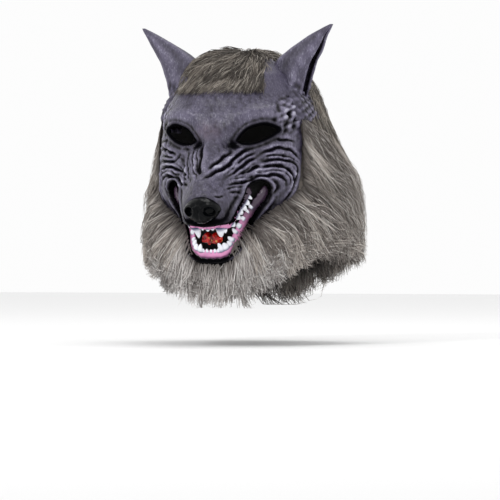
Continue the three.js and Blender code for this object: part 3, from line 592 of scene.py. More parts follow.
@dataclass(frozen=True)
class HeadForm:
    """Head with a muzzle, in the sizes of the CAD part.

    A turn is an angle in degrees from the face (-Y) towards +X.
    A drop is depth below the crown over `face_drop`.
    """

    half_width: float = 90
    face_depth: float = 98
    back_depth: float = 118
    face_drop: float = 245
    squareness: float = 2.6
    crown_squareness: float = 2.2
    widest_drop: float = 0.408
    muzzle_reach: float = 152
    muzzle_blend: float = 8
    ridge_radius: float = 6
    hairline: float = 30
    chin_edge: float = 243
    fur_depth: float = 37
    # share of the fur's depth at the latex edge, and the turn and the drop over which it becomes full
    edge_fur: float = 0.3
    edge_turns: float = 26
    edge_drops: float = 0.1
    crown_thinning: float = 0.38
    widest_latex: float = 0.972
    # drop, width, front, back, flare
    sections: Rows = (
        (0, 1, 0.99, 1, 0), (0.31, 1, 0.99, 1, 0), (0.42, 1, 0.99, 1.01, 0.02),
        (0.55, 1, 1.0, 1.01, 0.12), (0.66, 0.985, 0.97, 1, 0.18), (0.73, 0.98, 0.90, 1, 0.20),
        (0.79, 0.98, 0.94, 0.99, 0.21), (0.88, 0.98, 1.05, 0.98, 0.22), (1, 0.97, 1.06, 0.97, 0.22),
        (1.22, 0.93, 0.93, 0.95, 0.20), (1.35, 0.92, 0.90, 0.94, 0.20),
    )
    # drop, reach, flat, slope
    muzzle: Rows = (
        (0.10, 0.30, 0.11, 1), (0.25, 0.51, 0.11, 1), (0.33, 0.645, 0.09, 1), (0.42, 0.75, 0.09, 1.05),
        (0.55, 0.895, 0.10, 1.15), (0.645, 0.98, 0.145, 1.4), (0.70, 1, 0.20, 1.85),
        (0.76, 0.975, 0.245, 2.6), (0.80, 0.92, 0.27, 3), (0.84, 0.85, 0.275, 2.9), (0.88, 0.81, 0.26, 2),
        (0.94, 0.77, 0.22, 1.2), (1, 0.70, 0.18, 1), (1.06, 0.55, 0.18, 1),
    )
    # drop, edge of the latex as a share of the half width
    latex_edge: Rows = (
        (0.57, 1.12), (0.61, 0.985), (0.665, 0.90), (0.73, 0.73), (0.785, 0.54), (0.865, 0.45),
        (0.94, 0.38), (0.99, 0.29),
    )
    # drop, fur depth at the front, side and back
    fur: Rows = (
        (0, 0.52, 0.52, 0.52), (0.12, 0.50, 0.36, 0.50), (0.28, 0.40, 0.20, 0.55),
        (0.38, 0.35, 0.42, 0.60), (0.55, 0.35, 0.90, 0.80), (0.70, 0.40, 0.98, 0.90),
        (0.87, 0.45, 1, 0.95), (1, 0.55, 0.95, 0.95), (1.3, 0.60, 0.85, 0.85),
    )
    # turn, cloth hem and fur hem as drops
    hems: Rows = (
        (0, 1.05, 1.14), (30, 1, 1.09), (60, 0.89, 0.97), (90, 0.83, 0.91), (120, 0.86, 0.93),
        (150, 0.95, 1.04), (180, 1.05, 1.15),
    )

    def dome(self, drop: Array) -> Array:
        """Width of the head above its widest level: (1 - q^n)^(1/n) with q from 0 there to 1 at the crown."""
        q = np.clip((self.widest_drop - drop) / self.widest_drop, 0, 1)
        return np.maximum(1 - q**self.crown_squareness, 0) ** (1 / self.crown_squareness)

    def form(self, turn: Array, z: Array, grow: Array | float) -> Array:
        """Points on the head, a superellipse at each level, grown outwards by `grow` mm."""
        turn, z, grow = np.broadcast_arrays(
            np.asarray(turn, float), np.asarray(z, float), np.asarray(grow, float)
        )
        sin = np.sin(np.radians(turn))
        cos = np.cos(np.radians(turn))
        drop = -z / self.face_drop
        power = 2 / self.squareness
        flare = np.where(cos < 0, 1 + along(self.sections, 4, drop) * np.minimum(1, -2 * cos), 1)
        front = self.face_depth * along(self.sections, 2, drop)
        back = self.back_depth * along(self.sections, 3, drop)
        depth = np.where(cos < 0, back, front)
        dome = self.dome(drop)
        width = self.half_width * along(self.sections, 1, drop) * flare
        x = (width + grow) * dome * np.sign(sin) * np.abs(sin) ** power
        y = -(depth + grow) * dome * np.sign(cos) * np.abs(cos) ** power
        rise = grow * np.maximum(0, 1 - drop / self.widest_drop) ** 2
        return np.stack([x, y, z + rise], axis=-1)

    def muzzle_depth(self, x: Array, z: Array) -> Array:
        """Depth of the muzzle: its reach less its slope times the distance beside its flat middle."""
        drop = -z / self.face_drop
        beside = np.abs(x) - along(self.muzzle, 2, drop) * self.half_width
        side = (beside + np.hypot(beside, self.ridge_radius)) / 2
        return along(self.muzzle, 1, drop) * self.muzzle_reach - along(self.muzzle, 3, drop) * side

    def face_at(self, x: Array, z: Array) -> Array:
        """Points of the face above given X and Z."""
        drop = -z / self.face_drop
        width = self.half_width * along(self.sections, 1, drop) * self.dome(drop)
        share = np.clip(np.abs(x) / width, 0, 1)
        depth = self.face_depth * along(self.sections, 2, drop) * self.dome(drop)
        head = depth * (1 - share**self.squareness) ** (1 / self.squareness)
        return np.stack([x, -smooth_max(head, self.muzzle_depth(x, z), self.muzzle_blend), z], axis=-1)

    def face(self, turn: Array, z: Array) -> Array:
        """Points of the face at given turns and levels."""
        points = self.form(turn, z, 0)
        muzzle = self.muzzle_depth(points[..., 0], points[..., 2])
        points[..., 1] = -smooth_max(-points[..., 1], muzzle, self.muzzle_blend)
        return points

    def edge_turn(self, z: Array) -> Array:
        """Turn at which the latex ends and the fur begins."""
        edge = np.minimum(along(self.latex_edge, 1, -z / self.face_drop), self.widest_latex)
        return np.degrees(np.arcsin(np.maximum(edge, 0) ** (self.squareness / 2)))

    def fur_away(self, turn: Array, z: Array) -> Array:
        """How far a place is into the fur: 0 at the latex edge and 1 where the fur is full."""
        drop = -z / self.face_drop
        sideways = (turned_away(turn) - self.edge_turn(z)) / self.edge_turns
        above = (self.hairline / self.face_drop - drop) / self.edge_drops
        below = (drop - self.chin_edge / self.face_drop) / self.edge_drops
        return np.maximum(np.maximum(sideways, above), below)

    def depth_of_fur(self, turn: Array, z: Array) -> Array:
        """Depth of the fur over the head, thin at the latex edge."""
        drop = -z / self.face_drop
        turned = turned_away(turn)
        cos = np.cos(np.radians(turned))
        side = along(self.fur, 2, drop)
        end = np.where(cos > 0, along(self.fur, 1, drop), along(self.fur, 3, drop))
        thin = self.crown_thinning * np.minimum(1, drop / self.widest_drop)
        swell = 1 - thin * (1 - smoothstep(turned, 65, 105))
        away = np.clip(self.fur_away(turn, z), 0, 1)
        share = self.edge_fur + (1 - self.edge_fur) * np.sin(away * math.pi / 2)
        return self.fur_depth * (side + (end - side) * cos * cos) * swell * share

    def hem(self, turn: Array, column: int) -> Array:
        """Level of the cloth hem (column 1) or the fur hem (column 2)."""
        return -self.face_drop * along(self.hems, column, turned_away(turn))


# Ridges beside a crease: distance and width over the crease's width, height, and how much it changes along it
RIDGE_GAP, RIDGE_WIDTH, RIDGE_HEIGHT, RIDGE_CHANGE = 2.4, 1.4, 0.75, 0.45


@dataclass(frozen=True)
class Crease:
    """A crease in the latex: a narrow groove between two rounded ridges.

    `knots` are X and Z of points that the groove passes through; it fades out at both ends.
    """

    knots: Rows
    depth: float = 2.6
    width: float = 1.7
    ridge: float = 1.5
    sides: tuple[int, ...] = (1, -1)

    def relief(self, form: HeadForm, points: Array) -> Array:
        """Height that the crease adds at each point of the face."""
        knots = np.asarray(self.knots, dtype=float)
        total = np.zeros(len(points))
        for side in self.sides:
            path = smooth_path(knots, 14)
            lifted = form.face_at(side * path[:, 0], path[:, 1])
            gap, share, _ = nearest_on_path(points, lifted)
            fade = np.clip(np.sin(math.pi * np.clip(share, 0.02, 0.98)) * 1.7, 0, 1)
            groove = -self.depth * bell(gap, self.width)
            ridge = self.ridge * bell(gap - RIDGE_GAP * self.width, RIDGE_WIDTH * self.width)
            ridge *= RIDGE_HEIGHT * (1 + RIDGE_CHANGE * waves(points, 7, 18))
            total += fade * (groove + ridge)
        return total


@dataclass(frozen=True)
class Swelling:
    """A soft bulge or hollow of the face at X and Z, on both sides."""

    x: float
    z: float
    across: float
    down: float
    rise: float
    tilt: float = 0

    def relief(self, points: Array) -> Array:
        """Height that the swelling adds at each point."""
        angle = math.radians(self.tilt)
        total = np.zeros(len(points))
        for side in (1, -1) if self.x else (1,):
            dx = side * points[:, 0] - self.x
            dz = points[:, 2] - self.z
            u = dx * math.cos(angle) + dz * math.sin(angle)
            w = dz * math.cos(angle) - dx * math.sin(angle)
            total += self.rise * spot(u, w, (0, 0), (self.across, self.down))
        return total


NEAR = (1,)
FAR = (-1,)
CREASES = (
    Crease(((22, -110), (10, -124), (3, -130)), 3, 1.5, 1.2, NEAR),
    Crease(((43.5, -104.5), (29.5, -113), (22.8, -125), (11.6, -134), (0, -142)), 3.4, 1.6, 1.9, NEAR),
    Crease(((49.5, -116.5), (39.5, -121.5), (33, -128), (24.2, -138.5)), 3, 1.4, 1.7, NEAR),
    Crease(((53, -111), (61, -107.5), (69, -104.5), (78, -105.5), (83, -111), (86, -117)), 2.8, 1.4, 1.7),
    Crease(((54.5, -121), (67, -119), (76, -118), (82.5, -121.5), (85, -128), (86.5, -134)), 2.7, 1.4, 1.7),
    Crease(
        (
            (29, -138.5), (39, -133), (50, -128.5), (61, -126.5),
            (70, -125.5), (78, -128.5), (81.5, -135.5), (82.8, -143.5), (81, -151.5),
        ),
        3.3, 1.5, 2,
    ),
    Crease(
        (
            (23.8, -149.5), (34, -147), (43, -143), (49, -139.5),
            (58, -138), (68, -136.5), (75, -141), (76.7, -148),
        ),
        3.1, 1.5, 1.9,
    ),
    Crease(((26.7, -157), (33, -157.6), (38, -158.2)), 1.8, 1.2, 1, NEAR),
    Crease(((13.3, -164), (18, -163.2), (23, -162)), 1.3, 1.1, 0.8, NEAR),
    Crease(((68, -95.2), (75, -94.6), (82, -95.6)), 2.7, 1.5, 1.2),
    Crease(((56, -115.5), (66, -112.5), (76, -111.5)), 1.3, 1, 0.7),
    Crease(((36, -143.5), (45, -137.5), (56, -133.5), (68, -131.5)), 1.3, 1, 0.7),
    Crease(((69.5, -150), (62, -164.5), (53, -175)), 2.2, 1.9, 1.2),
    Crease(((85, -125), (84.6, -140), (80.4, -156), (72.7, -168)), 1.8, 1.5, 1.5),
    Crease(((14.2, -99), (13, -112), (11, -125), (8, -139)), 4.2, 3.2, 0.8, FAR),
    Crease(((25.8, -106), (25, -118), (18, -130), (10.2, -142)), 2.7, 1.3, 1.5, FAR),
    Crease(((32.5, -110), (32.8, -123), (27, -135), (20, -146)), 2.5, 1.3, 1.5, FAR),
    Crease(((37, -123), (34, -136), (29.3, -150)), 2.1, 1.3, 1.2, FAR),
    Crease(((71, -92.5), (66, -102), (59, -111.5)), 1.6, 1.2, 1, FAR),
    Crease(((81, -98.5), (73, -105), (64, -111)), 1.6, 1.2, 1, FAR),
    Crease(((36, -108), (26, -118), (17, -128.5), (8, -136)), 1.9, 1.1, 1, NEAR),
    Crease(((46, -111), (36, -117), (28.5, -127), (19, -137)), 2, 1.1, 1, NEAR),
    Crease(((52, -122.5), (43, -127), (34, -134), (26, -142)), 1.9, 1.1, 1),
    Crease(((56, -116), (67, -113.5), (77, -114), (84, -120), (86.5, -127)), 1.9, 1.1, 1),
    Crease(((60, -132), (70, -131), (77, -134), (79.5, -141), (79, -149)), 1.9, 1.1, 1),
    Crease(((24, -144), (34, -140), (44, -135.5), (54, -133), (62, -132)), 1.9, 1.1, 1),
    Crease(((22, -153.5), (31, -152), (40, -149.5)), 1.8, 1.1, 0.9, NEAR),
    Crease(((20, -104), (18.5, -116), (14.5, -128), (9.5, -138)), 2.2, 1.2, 1, FAR),
    Crease(((45, -112), (52, -118), (60, -121), (70, -121)), 1.8, 1.1, 0.9, FAR),
)
SWELLINGS = (
    Swelling(42, -64, 24, 8, 5.0, 8),
    Swelling(19, -80, 11, 9, 2.4, -20),
    Swelling(66, -70, 15, 8, 2.6, -14),
    Swelling(48, -90, 27, 12, -3.4, 14),
    Swelling(20, -98, 8, 6, -3.4, 0),
    Swelling(0, -58, 6, 11, -1.4),
    Swelling(62, -143, 14, 9, 2.0),
    Swelling(28, -172, 9, 14, 1.2),
    Swelling(52, -105, 20, 5, 2.2, 14),
    Swelling(0, -108, 10, 20, 1.6),
)


# Soft spots of the face: middle in X and Z, half sizes
BROW_SPOT = ((46, -68), (24, 9))
BLUSH_SPOT = ((-8, -86), (12, 9))
WET_SPOT = ((22, -101), (6.5, 7))
CHEEK_SPOT = ((52, -126), (30, 27))
MATTED_SPOT = ((78, -62), (11, 20))
# Relief round an opening: height, distance from its edge, width
EYE_RIM = ((0.8, 2.6, 2.0), (-2.2, 0, 1.6), (-0.6, 6.6, 2.0))
MOUTH_RIM = ((1.5, 2.6, 1.9), (-1.6, 0, 1.3), (-0.9, 6.4, 1.9))


@dataclass(frozen=True)
class LatexFace:
    """Moulded face: one sheet with openings for eyes and mouth."""

    form: HeadForm
    columns: int = 204
    rows: int = 200
    wall: float = 2.6
    eye: Rows = (
        (27.5, -95.4), (31.5, -89.6), (38.0, -83.2), (46.5, -79.4), (55.3, -77.6), (63.0, -79.2),
        (69.5, -82.8), (66.5, -86.5), (61.5, -90.6), (52.5, -95.6), (42.5, -98.6), (33.5, -98.8),
    )
    mouth_across: float = 63
    mouth_down: float = 90
    mouth_top: float = -143
    # shares of the mouth's half width and height, from the upper lip's middle to the lower lip's
    mouth: Rows = (
        (0, 0.62), (0.235, 0.6), (0.443, 0.558), (0.545, 0.385), (0.645, 0.21), (0.7, 0.055), (0.86, 0),
        (1, 0.08), (0.948, 0.224), (0.748, 0.438), (0.651, 0.558), (0.57, 0.705), (0.51, 0.846),
        (0.41, 0.945), (0.24, 1.015), (0, 1.03),
    )

    def mouth_half(self) -> Array:
        """Mouth outline of the +X side from the upper lip's middle to the lower lip's middle."""
        rows = np.asarray(self.mouth)
        return (0, self.mouth_top) + rows * (self.mouth_across, -self.mouth_down)

    def outlines(self) -> tuple[Array, Array, Array]:
        """Closed outlines in X and Z of the mouth and of both eyes."""
        half = smooth_path(self.mouth_half(), 90)
        mouth = np.concatenate([half, half[-2:0:-1] * (-1, 1)])
        knots = np.asarray(self.eye)
        eye = smooth_path(np.concatenate([knots, knots[:1]]), 61)[:-1]
        return mouth, eye, eye * (-1, 1)

    def base(self) -> tuple[Array, Array]:
        """Even grid over the face, and the mask of the points that stay.

        Each row is the face at one level, cut at the latex edge, with its points evenly spaced.
        Points within half a cell of an opening's outline move onto it; those further inside are dropped.
        """
        levels = np.linspace(-self.form.hairline, -self.form.chin_edge, self.rows)
        edge = np.minimum(self.form.edge_turn(levels), 80)
        fine = np.linspace(-1, 1, 801)
        curve = self.form.face(fine[None] * edge[:, None], levels[:, None])
        steps = np.linalg.norm(np.diff(curve, axis=1), axis=2)
        length = np.concatenate([np.zeros((self.rows, 1)), np.cumsum(steps, axis=1)], axis=1)
        length /= length[:, -1:]
        even = np.linspace(0, 1, self.columns)
        share = np.stack([np.interp(even, row, fine) for row in length])
        grid = self.form.face(share * edge[:, None], levels[:, None]).reshape(-1, 3)
        keep = np.ones(len(grid), dtype=bool)
        for outline in self.outlines():
            flat = grid[:, [0, 2]]
            distance, nearest = outline_distance(flat, outline)
            near = np.abs(distance) < 0.6
            moved = self.form.face_at(nearest[near][:, 0], nearest[near][:, 1])
            grid[near] = moved
            keep &= near | (distance > 0)
        return grid, keep

    def relief(self, points: Array) -> tuple[Array, Array]:
        """Height of the sculpted surface over the form: the broad shapes, and the creases, rims and lumps."""
        warped = points + 1.1 * np.stack(
            [waves(points, 17, 3), waves(points, 17, 4), waves(points, 17, 5)], axis=1
        )
        broad = 0.22 * waves(points, 14, 12)
        for swelling in SWELLINGS:
            broad += swelling.relief(points)
        fine = 0.10 * waves(points, 4.2, 13) + 0.14 * waves(points * (1, 1, 0.4), 5, 11)
        for crease in CREASES:
            fine += crease.relief(self.form, warped)
        mouth, *eyes = self.outlines()
        flat = points[:, [0, 2]]
        for eye in eyes:
            gap, _ = outline_distance(flat, eye)
            fine += sum(height * bell(gap - at, width) for height, at, width in EYE_RIM)
        gap, _ = outline_distance(flat, mouth)
        fine += sum(height * bell(gap - at, width) for height, at, width in MOUTH_RIM)
        nose = (points - (0, -152, -178)) / (26, 40, 18)
        broad += 0.9 * bell(np.linalg.norm(nose, axis=1) - 1, 0.16)
        fine += 1.9 * self.matted(points) * waves(points, 6.5, 14)
        fine += self.wrinkles(points)
        return broad, fine

    def wrinkles(self, points: Array) -> Array:
        """Fine wrinkles of the cheeks: noise stretched four times along the way the creases run."""
        x, z = np.abs(points[:, 0]), points[:, 2]
        along_way = 0.25 * (0.82 * x + 0.57 * z)
        stretched = np.stack([along_way, 0.25 * points[:, 1], 0.82 * z - 0.57 * x], axis=1)
        return 0.8 * spot(x, z, *CHEEK_SPOT) * waves(stretched, 4.8, 17)

    def matted(self, points: Array) -> Array:
        """Share of the lumpy skin at the foot of the ears."""
        return spot(np.abs(points[:, 0]), points[:, 2], *MATTED_SPOT)

    def build(self, material: Material) -> None:
        """Builds the face and its paint."""
        points, keep = self.base()
        grid = points.reshape(self.rows, self.columns, 3)
        across = np.gradient(grid, axis=1)
        down = np.gradient(grid, axis=0)
        normals = unit(np.cross(down, across)).reshape(-1, 3)
        if normals[:, 1].mean() > 0:
            normals = -normals
        broad, fine = self.relief(points)
        placed = points + normals * (broad + fine)[:, None]
        quads = grid_quads(self.rows, self.columns)
        quads = quads[keep[quads].all(axis=1)]
        first, second, _, last = (placed[quads[:, n]] for n in range(4))
        facing = np.cross(second - first, last - first)
        if facing[:, 1].mean() > 0:
            quads = quads[:, ::-1]
        piece, used = add_trimmed("latex_face_skin", placed, quads, np.zeros((0, 3), dtype=int))
        add_tint(piece, "paint", self.paint(points, fine)[used])
        thicken(piece, self.wall)
        dress(piece, material, "latex", "latex_face")

    def paint(self, points: Array, fine: Array) -> Array:
        """Paint at each point: level of grey, share of blush and share of wet black.

        The level follows the height over the blurred height: grooves dark, as dark wash and painted shade,
        and ridges brushed light.
        """
        grid = fine.reshape(self.rows, self.columns)
        over = 0.6 * (grid - blurred(grid, 4)) + 0.4 * (grid - blurred(grid, 9))
        over = over.ravel()
        # Grooves darkened as dark wash and painted shade; ridges lightened as dry-brush
        level = 0.41 + np.where(over < 0, 0.47, 0.15) * over + 0.05 * waves(points, 24, 19)
        x, z = np.abs(points[:, 0]), points[:, 2]
        level += 0.12 * spot(x, z, *BROW_SPOT)
        # Lumps at the foot of the ears lighter and the pits between them darker: dry-brush and painted shade
        level += self.matted(points) * (0.3 * waves(points, 6.5, 14) + 0.04)
        mouth, *eyes = self.outlines()
        flat = points[:, [0, 2]]
        level -= 0.16 * smoothstep(z, -150, -200)
        blush = 0.5 * spot(points[:, 0], z, *BLUSH_SPOT)
        blush *= 0.6 + 0.4 * waves(points, 9, 16)
        wet = 1.3 * spot(x, z, *WET_SPOT)
        lip = 1.3 * np.exp(-((x / 30) ** 4) - ((z + 193.5) / 6.5) ** 2)
        chin = smoothstep(z, -228, -233) * smoothstep(x, 27, 19)
        wet = np.maximum(np.maximum(wet, lip), chin)
        for eye in eyes:
            gap, _ = outline_distance(flat, eye)
            level -= 0.3 * bell(gap, 4.5)
            wet = np.maximum(wet, 1.3 * bell(gap - 0.4, 3.0))
        gap, _ = outline_distance(flat, mouth)
        level -= 0.4 * bell(gap, 1.8)
        wet = np.maximum(wet, 1.15 * bell(gap, 2.3) * smoothstep(x, 60, 44))
        return np.stack([np.clip(level, 0, 1), np.clip(blush, 0, 1), np.clip(wet, 0, 1)], axis=1)


@dataclass(frozen=True)
class Ear:
    """Curled ear, open on its outer side."""

    side: Side
    form: HeadForm
    height: float = 98
    half_width: float = 24.5
    half_depth: float = 15
    spread: float = 74.5
    foot_drop: float = 55
    forward: float = 15
    wall: float = 2.6
    open_from: float = 38
    open_to: float = 342
    root_turns: tuple = (36, 99)
    root_wall: float = 1.2
    # rise, lean, sweep, width, depth
    sections: Rows = (
        (0, -0.17, 0, 0.90, 0.95), (0.2, -0.14, 0, 1.04, 1), (0.4, -0.09, 0, 1.10, 1.02),
        (0.56, -0.01, 0, 1.07, 0.97), (0.71, 0.16, 0.08, 0.86, 0.76), (0.86, 0.36, 0.34, 0.50, 0.45),
        (0.95, 0.50, 0.32, 0.25, 0.25), (1, 0.585, 0.28, 0.09, 0.14),
    )

    def centre(self, rise: Array) -> Array:
        """Middle of the ear at each share of its height."""
        return np.stack(
            [
                self.side.value * (1 + along(self.sections, 1, rise)) * self.spread,
                -self.forward - along(self.sections, 2, rise) * self.half_depth,
                -self.foot_drop + rise * self.height,
            ],
            axis=-1,
        )

    def contains(self, points: Array, grow: float) -> Array:
        """True for points within `grow` mm of the ear's hollow form."""
        rise = (points[..., 2] + self.foot_drop) / self.height
        centre = self.centre(np.clip(rise, 0, 1))
        wide = along(self.sections, 3, rise) * self.half_width + grow
        deep = along(self.sections, 4, rise) * self.half_depth + grow
        gap = points - centre
        inside = (gap[..., 0] / wide) ** 2 + (gap[..., 1] / deep) ** 2
        return (inside < 1) & (rise > -0.1) & (rise < 1.03)

    def sheet(self, rise: Array, angle: Array, inset: float) -> Array:
        """Points of the curled wall, `inset` mm inside its outer face."""
        centre = self.centre(rise)
        wide = along(self.sections, 3, rise) * self.half_width
        deep = along(self.sections, 4, rise) * self.half_depth
        wide = np.maximum(wide - inset, 0.4 * wide)
        deep = np.maximum(deep - inset, 0.4 * deep)
        x = centre[..., 0] + self.side.value * wide * np.cos(angle)
        y = centre[..., 1] - deep * np.sin(angle)
        return np.stack([x, y, centre[..., 2] + 0 * angle], axis=-1)

    def relief(self, points: Array, rise: Array, angle: Array) -> Array:
        """Ribs that run up the ear, and a rough cast skin."""
        ribs = 0.5 * np.sin(5 * angle + 2.2 * rise + 1.2 * waves(points, 60, 21)) * smoothstep(rise, 1.0, 0.8)
        foot = smoothstep(rise, 0.42, 0.2)
        return ribs + 0.3 * waves(points * (1, 1, 0.5), 9, 22) + (0.15 + 1.1 * foot) * waves(points, 5, 23)

    def build(self, material: Material, node: str) -> None:
        """Builds the ear: rings of an outer and an inner arc, lofted from the foot to the tip."""
        rows, arcs = 70, 50
        rise = np.linspace(0, 1, rows)[:, None]
        angle = np.radians(np.linspace(self.open_from, self.open_to, arcs))[None]
        rise, angle = np.broadcast_arrays(rise, angle)
        outer = self.sheet(rise, angle, 0)
        inner = self.sheet(rise, angle, self.wall)
        through = unit(outer - inner)
        height = self.relief(outer, rise, angle)
        inside = self.relief(inner + 7, rise, angle)
        outer = outer + through * height[..., None] * 0.9
        inner = inner + through * np.minimum(inside, 0.8)[..., None]
        loops = np.concatenate([outer, inner[:, ::-1]], axis=1)
        count = 2 * arcs
        quads = grid_quads(rows, count, wrap=True)
        first = np.arange(arcs - 1)
        cap = np.stack([first, first + 1, count - 2 - first, count - 1 - first], axis=1)
        top = cap + (rows - 1) * count
        quads = np.concatenate([quads, cap, top[:, ::-1]])
        piece = add_mesh(node + "_skin", loops.reshape(-1, 3), quads)
        # Raised ribs lighter as dry-brush; the inner face of the curl darker, as dark wash and painted shade
        # in its hollow; the open edges lighter
        level = np.concatenate([0.44 + 0.16 * height, 0.26 + 0.2 * inside[:, ::-1]], axis=1)
        edge = bell(angle - angle[:, :1], 0.12) + bell(angle - angle[:, -1:], 0.12)
        level = level + 0.2 * np.concatenate([edge, edge], axis=1)
        add_tint(piece, "paint", grey_paint(level))
        outward(piece)
        dress(piece, material, "ear_latex", node)
        self.build_root(material, node + "_root")

    def build_root(self, material: Material, name: str) -> None:
        """Builds the skin that joins the ear to the forehead, laid on the hood."""
        rows, columns = 60, 80
        turn = np.linspace(*self.root_turns, columns)[None]
        top = -31 + 27 * smoothstep(turn, 35, 46)
        share = np.linspace(0, 1, rows)[:, None]
        bottom = -46 - 36 * smoothstep(turn, 61, 71)
        z = top + (bottom - top) * share
        grow = -1 + 3.6 * smoothstep(z, -45, -32) + 6.8 * smoothstep(z, -34, -21)
        grow = np.maximum(grow, 9 * smoothstep(turn, 66, 76) * smoothstep(z, -80, -66) - 1.5)
        points = self.form.form(self.side.value * turn, z, grow)
        lumps = smoothstep(turn, 62, 84) * waves(points, 6, 24)
        points = points + unit(points + (0, 0, 60)) * (1.5 * lumps + 0.2 * waves(points, 8, 25))[..., None]
        quads = grid_quads(rows, columns)
        piece = add_mesh(name, points.reshape(-1, 3), quads if self.side is Side.LEFT else quads[:, ::-1])
        # Lumps lighter and the pits between them darker, as dry-brush and painted shade; a little darker
        # further back
        level = 0.43 + 0.3 * lumps - 0.06 * smoothstep(turn, 60, 80)
        add_tint(piece, "paint", grey_paint(level))
        thicken(piece, self.root_wall)
        dress(piece, material, "ear_latex")


@dataclass(frozen=True)
class NosePad:
    """Glossy nose with two nostrils and a groove between them."""

    form: HeadForm
    half_width: float = 22.5
    half_height: float = 16.8
    proud: float = 14
    drop: float = 178
    nostril_radius: float = 5.6
    nostril_spread: float = 12.2
    nostril_depth: float = 8
    nostril_rim: float = 1
    groove: float = 1.3
    roughness: float = 0.25

    def build(self, material: Material) -> None:
        """Builds the pad: a ball squeezed to its half sizes, dented at the nostrils and the middle."""
        rows, columns = 64, 96
        x, y, z = np.moveaxis(ball(rows, columns), -1, 0)
        low = np.clip(-z, 0, 1)
        face_y = float(self.form.face_at(np.array(0.0), np.array(-float(self.drop)))[1])
        middle = face_y - self.proud + self.half_width
        points = np.stack(
            [
                self.half_width * x * (1 - 0.18 * low),
                middle + self.half_width * y,
                -self.drop + self.half_height * z * (1 - 0.10 * np.abs(x)),
            ],
            axis=-1,
        )
        front = smoothstep(-y, -0.2, 0.3)
        dent = np.zeros_like(x + y)
        for side in (1, -1):
            dx = points[..., 0] - side * self.nostril_spread
            dz = points[..., 2] + self.drop + 2
            gap = np.hypot(dx, dz * 1.15)
            past = gap - self.nostril_radius
            dent = dent + self.nostril_depth * smoothstep(past, 1.2, -1.6)
            dent = dent - self.nostril_rim * bell(past - 2.4, 1.8)
        up = points[..., 2] + self.drop
        dent = dent + self.groove * bell(points[..., 0], 1.5) * smoothstep(up, 6, -4)
        dent = dent + self.roughness * waves(points, 5, 31)
        points[..., 1] += dent * front
        flat = points.reshape(-1, 3)
        piece = add_mesh("nose_pad_skin", flat, grid_quads(rows, columns, wrap=True))
        outward(piece)
        dress(piece, material, "nose_paint", "nose_pad")


# Pink, purple and dark; root and tip; deep red, red and the yellow of the tongue's painted highlights
GUM_COLOURS = ((226, 150, 196), (122, 72, 118), (62, 46, 64))
TOOTH_COLOURS = ((104, 104, 134), (236, 238, 246))
TONGUE_AND_GLINT_COLOURS = ((104, 8, 10), (206, 26, 20), (226, 170, 90))


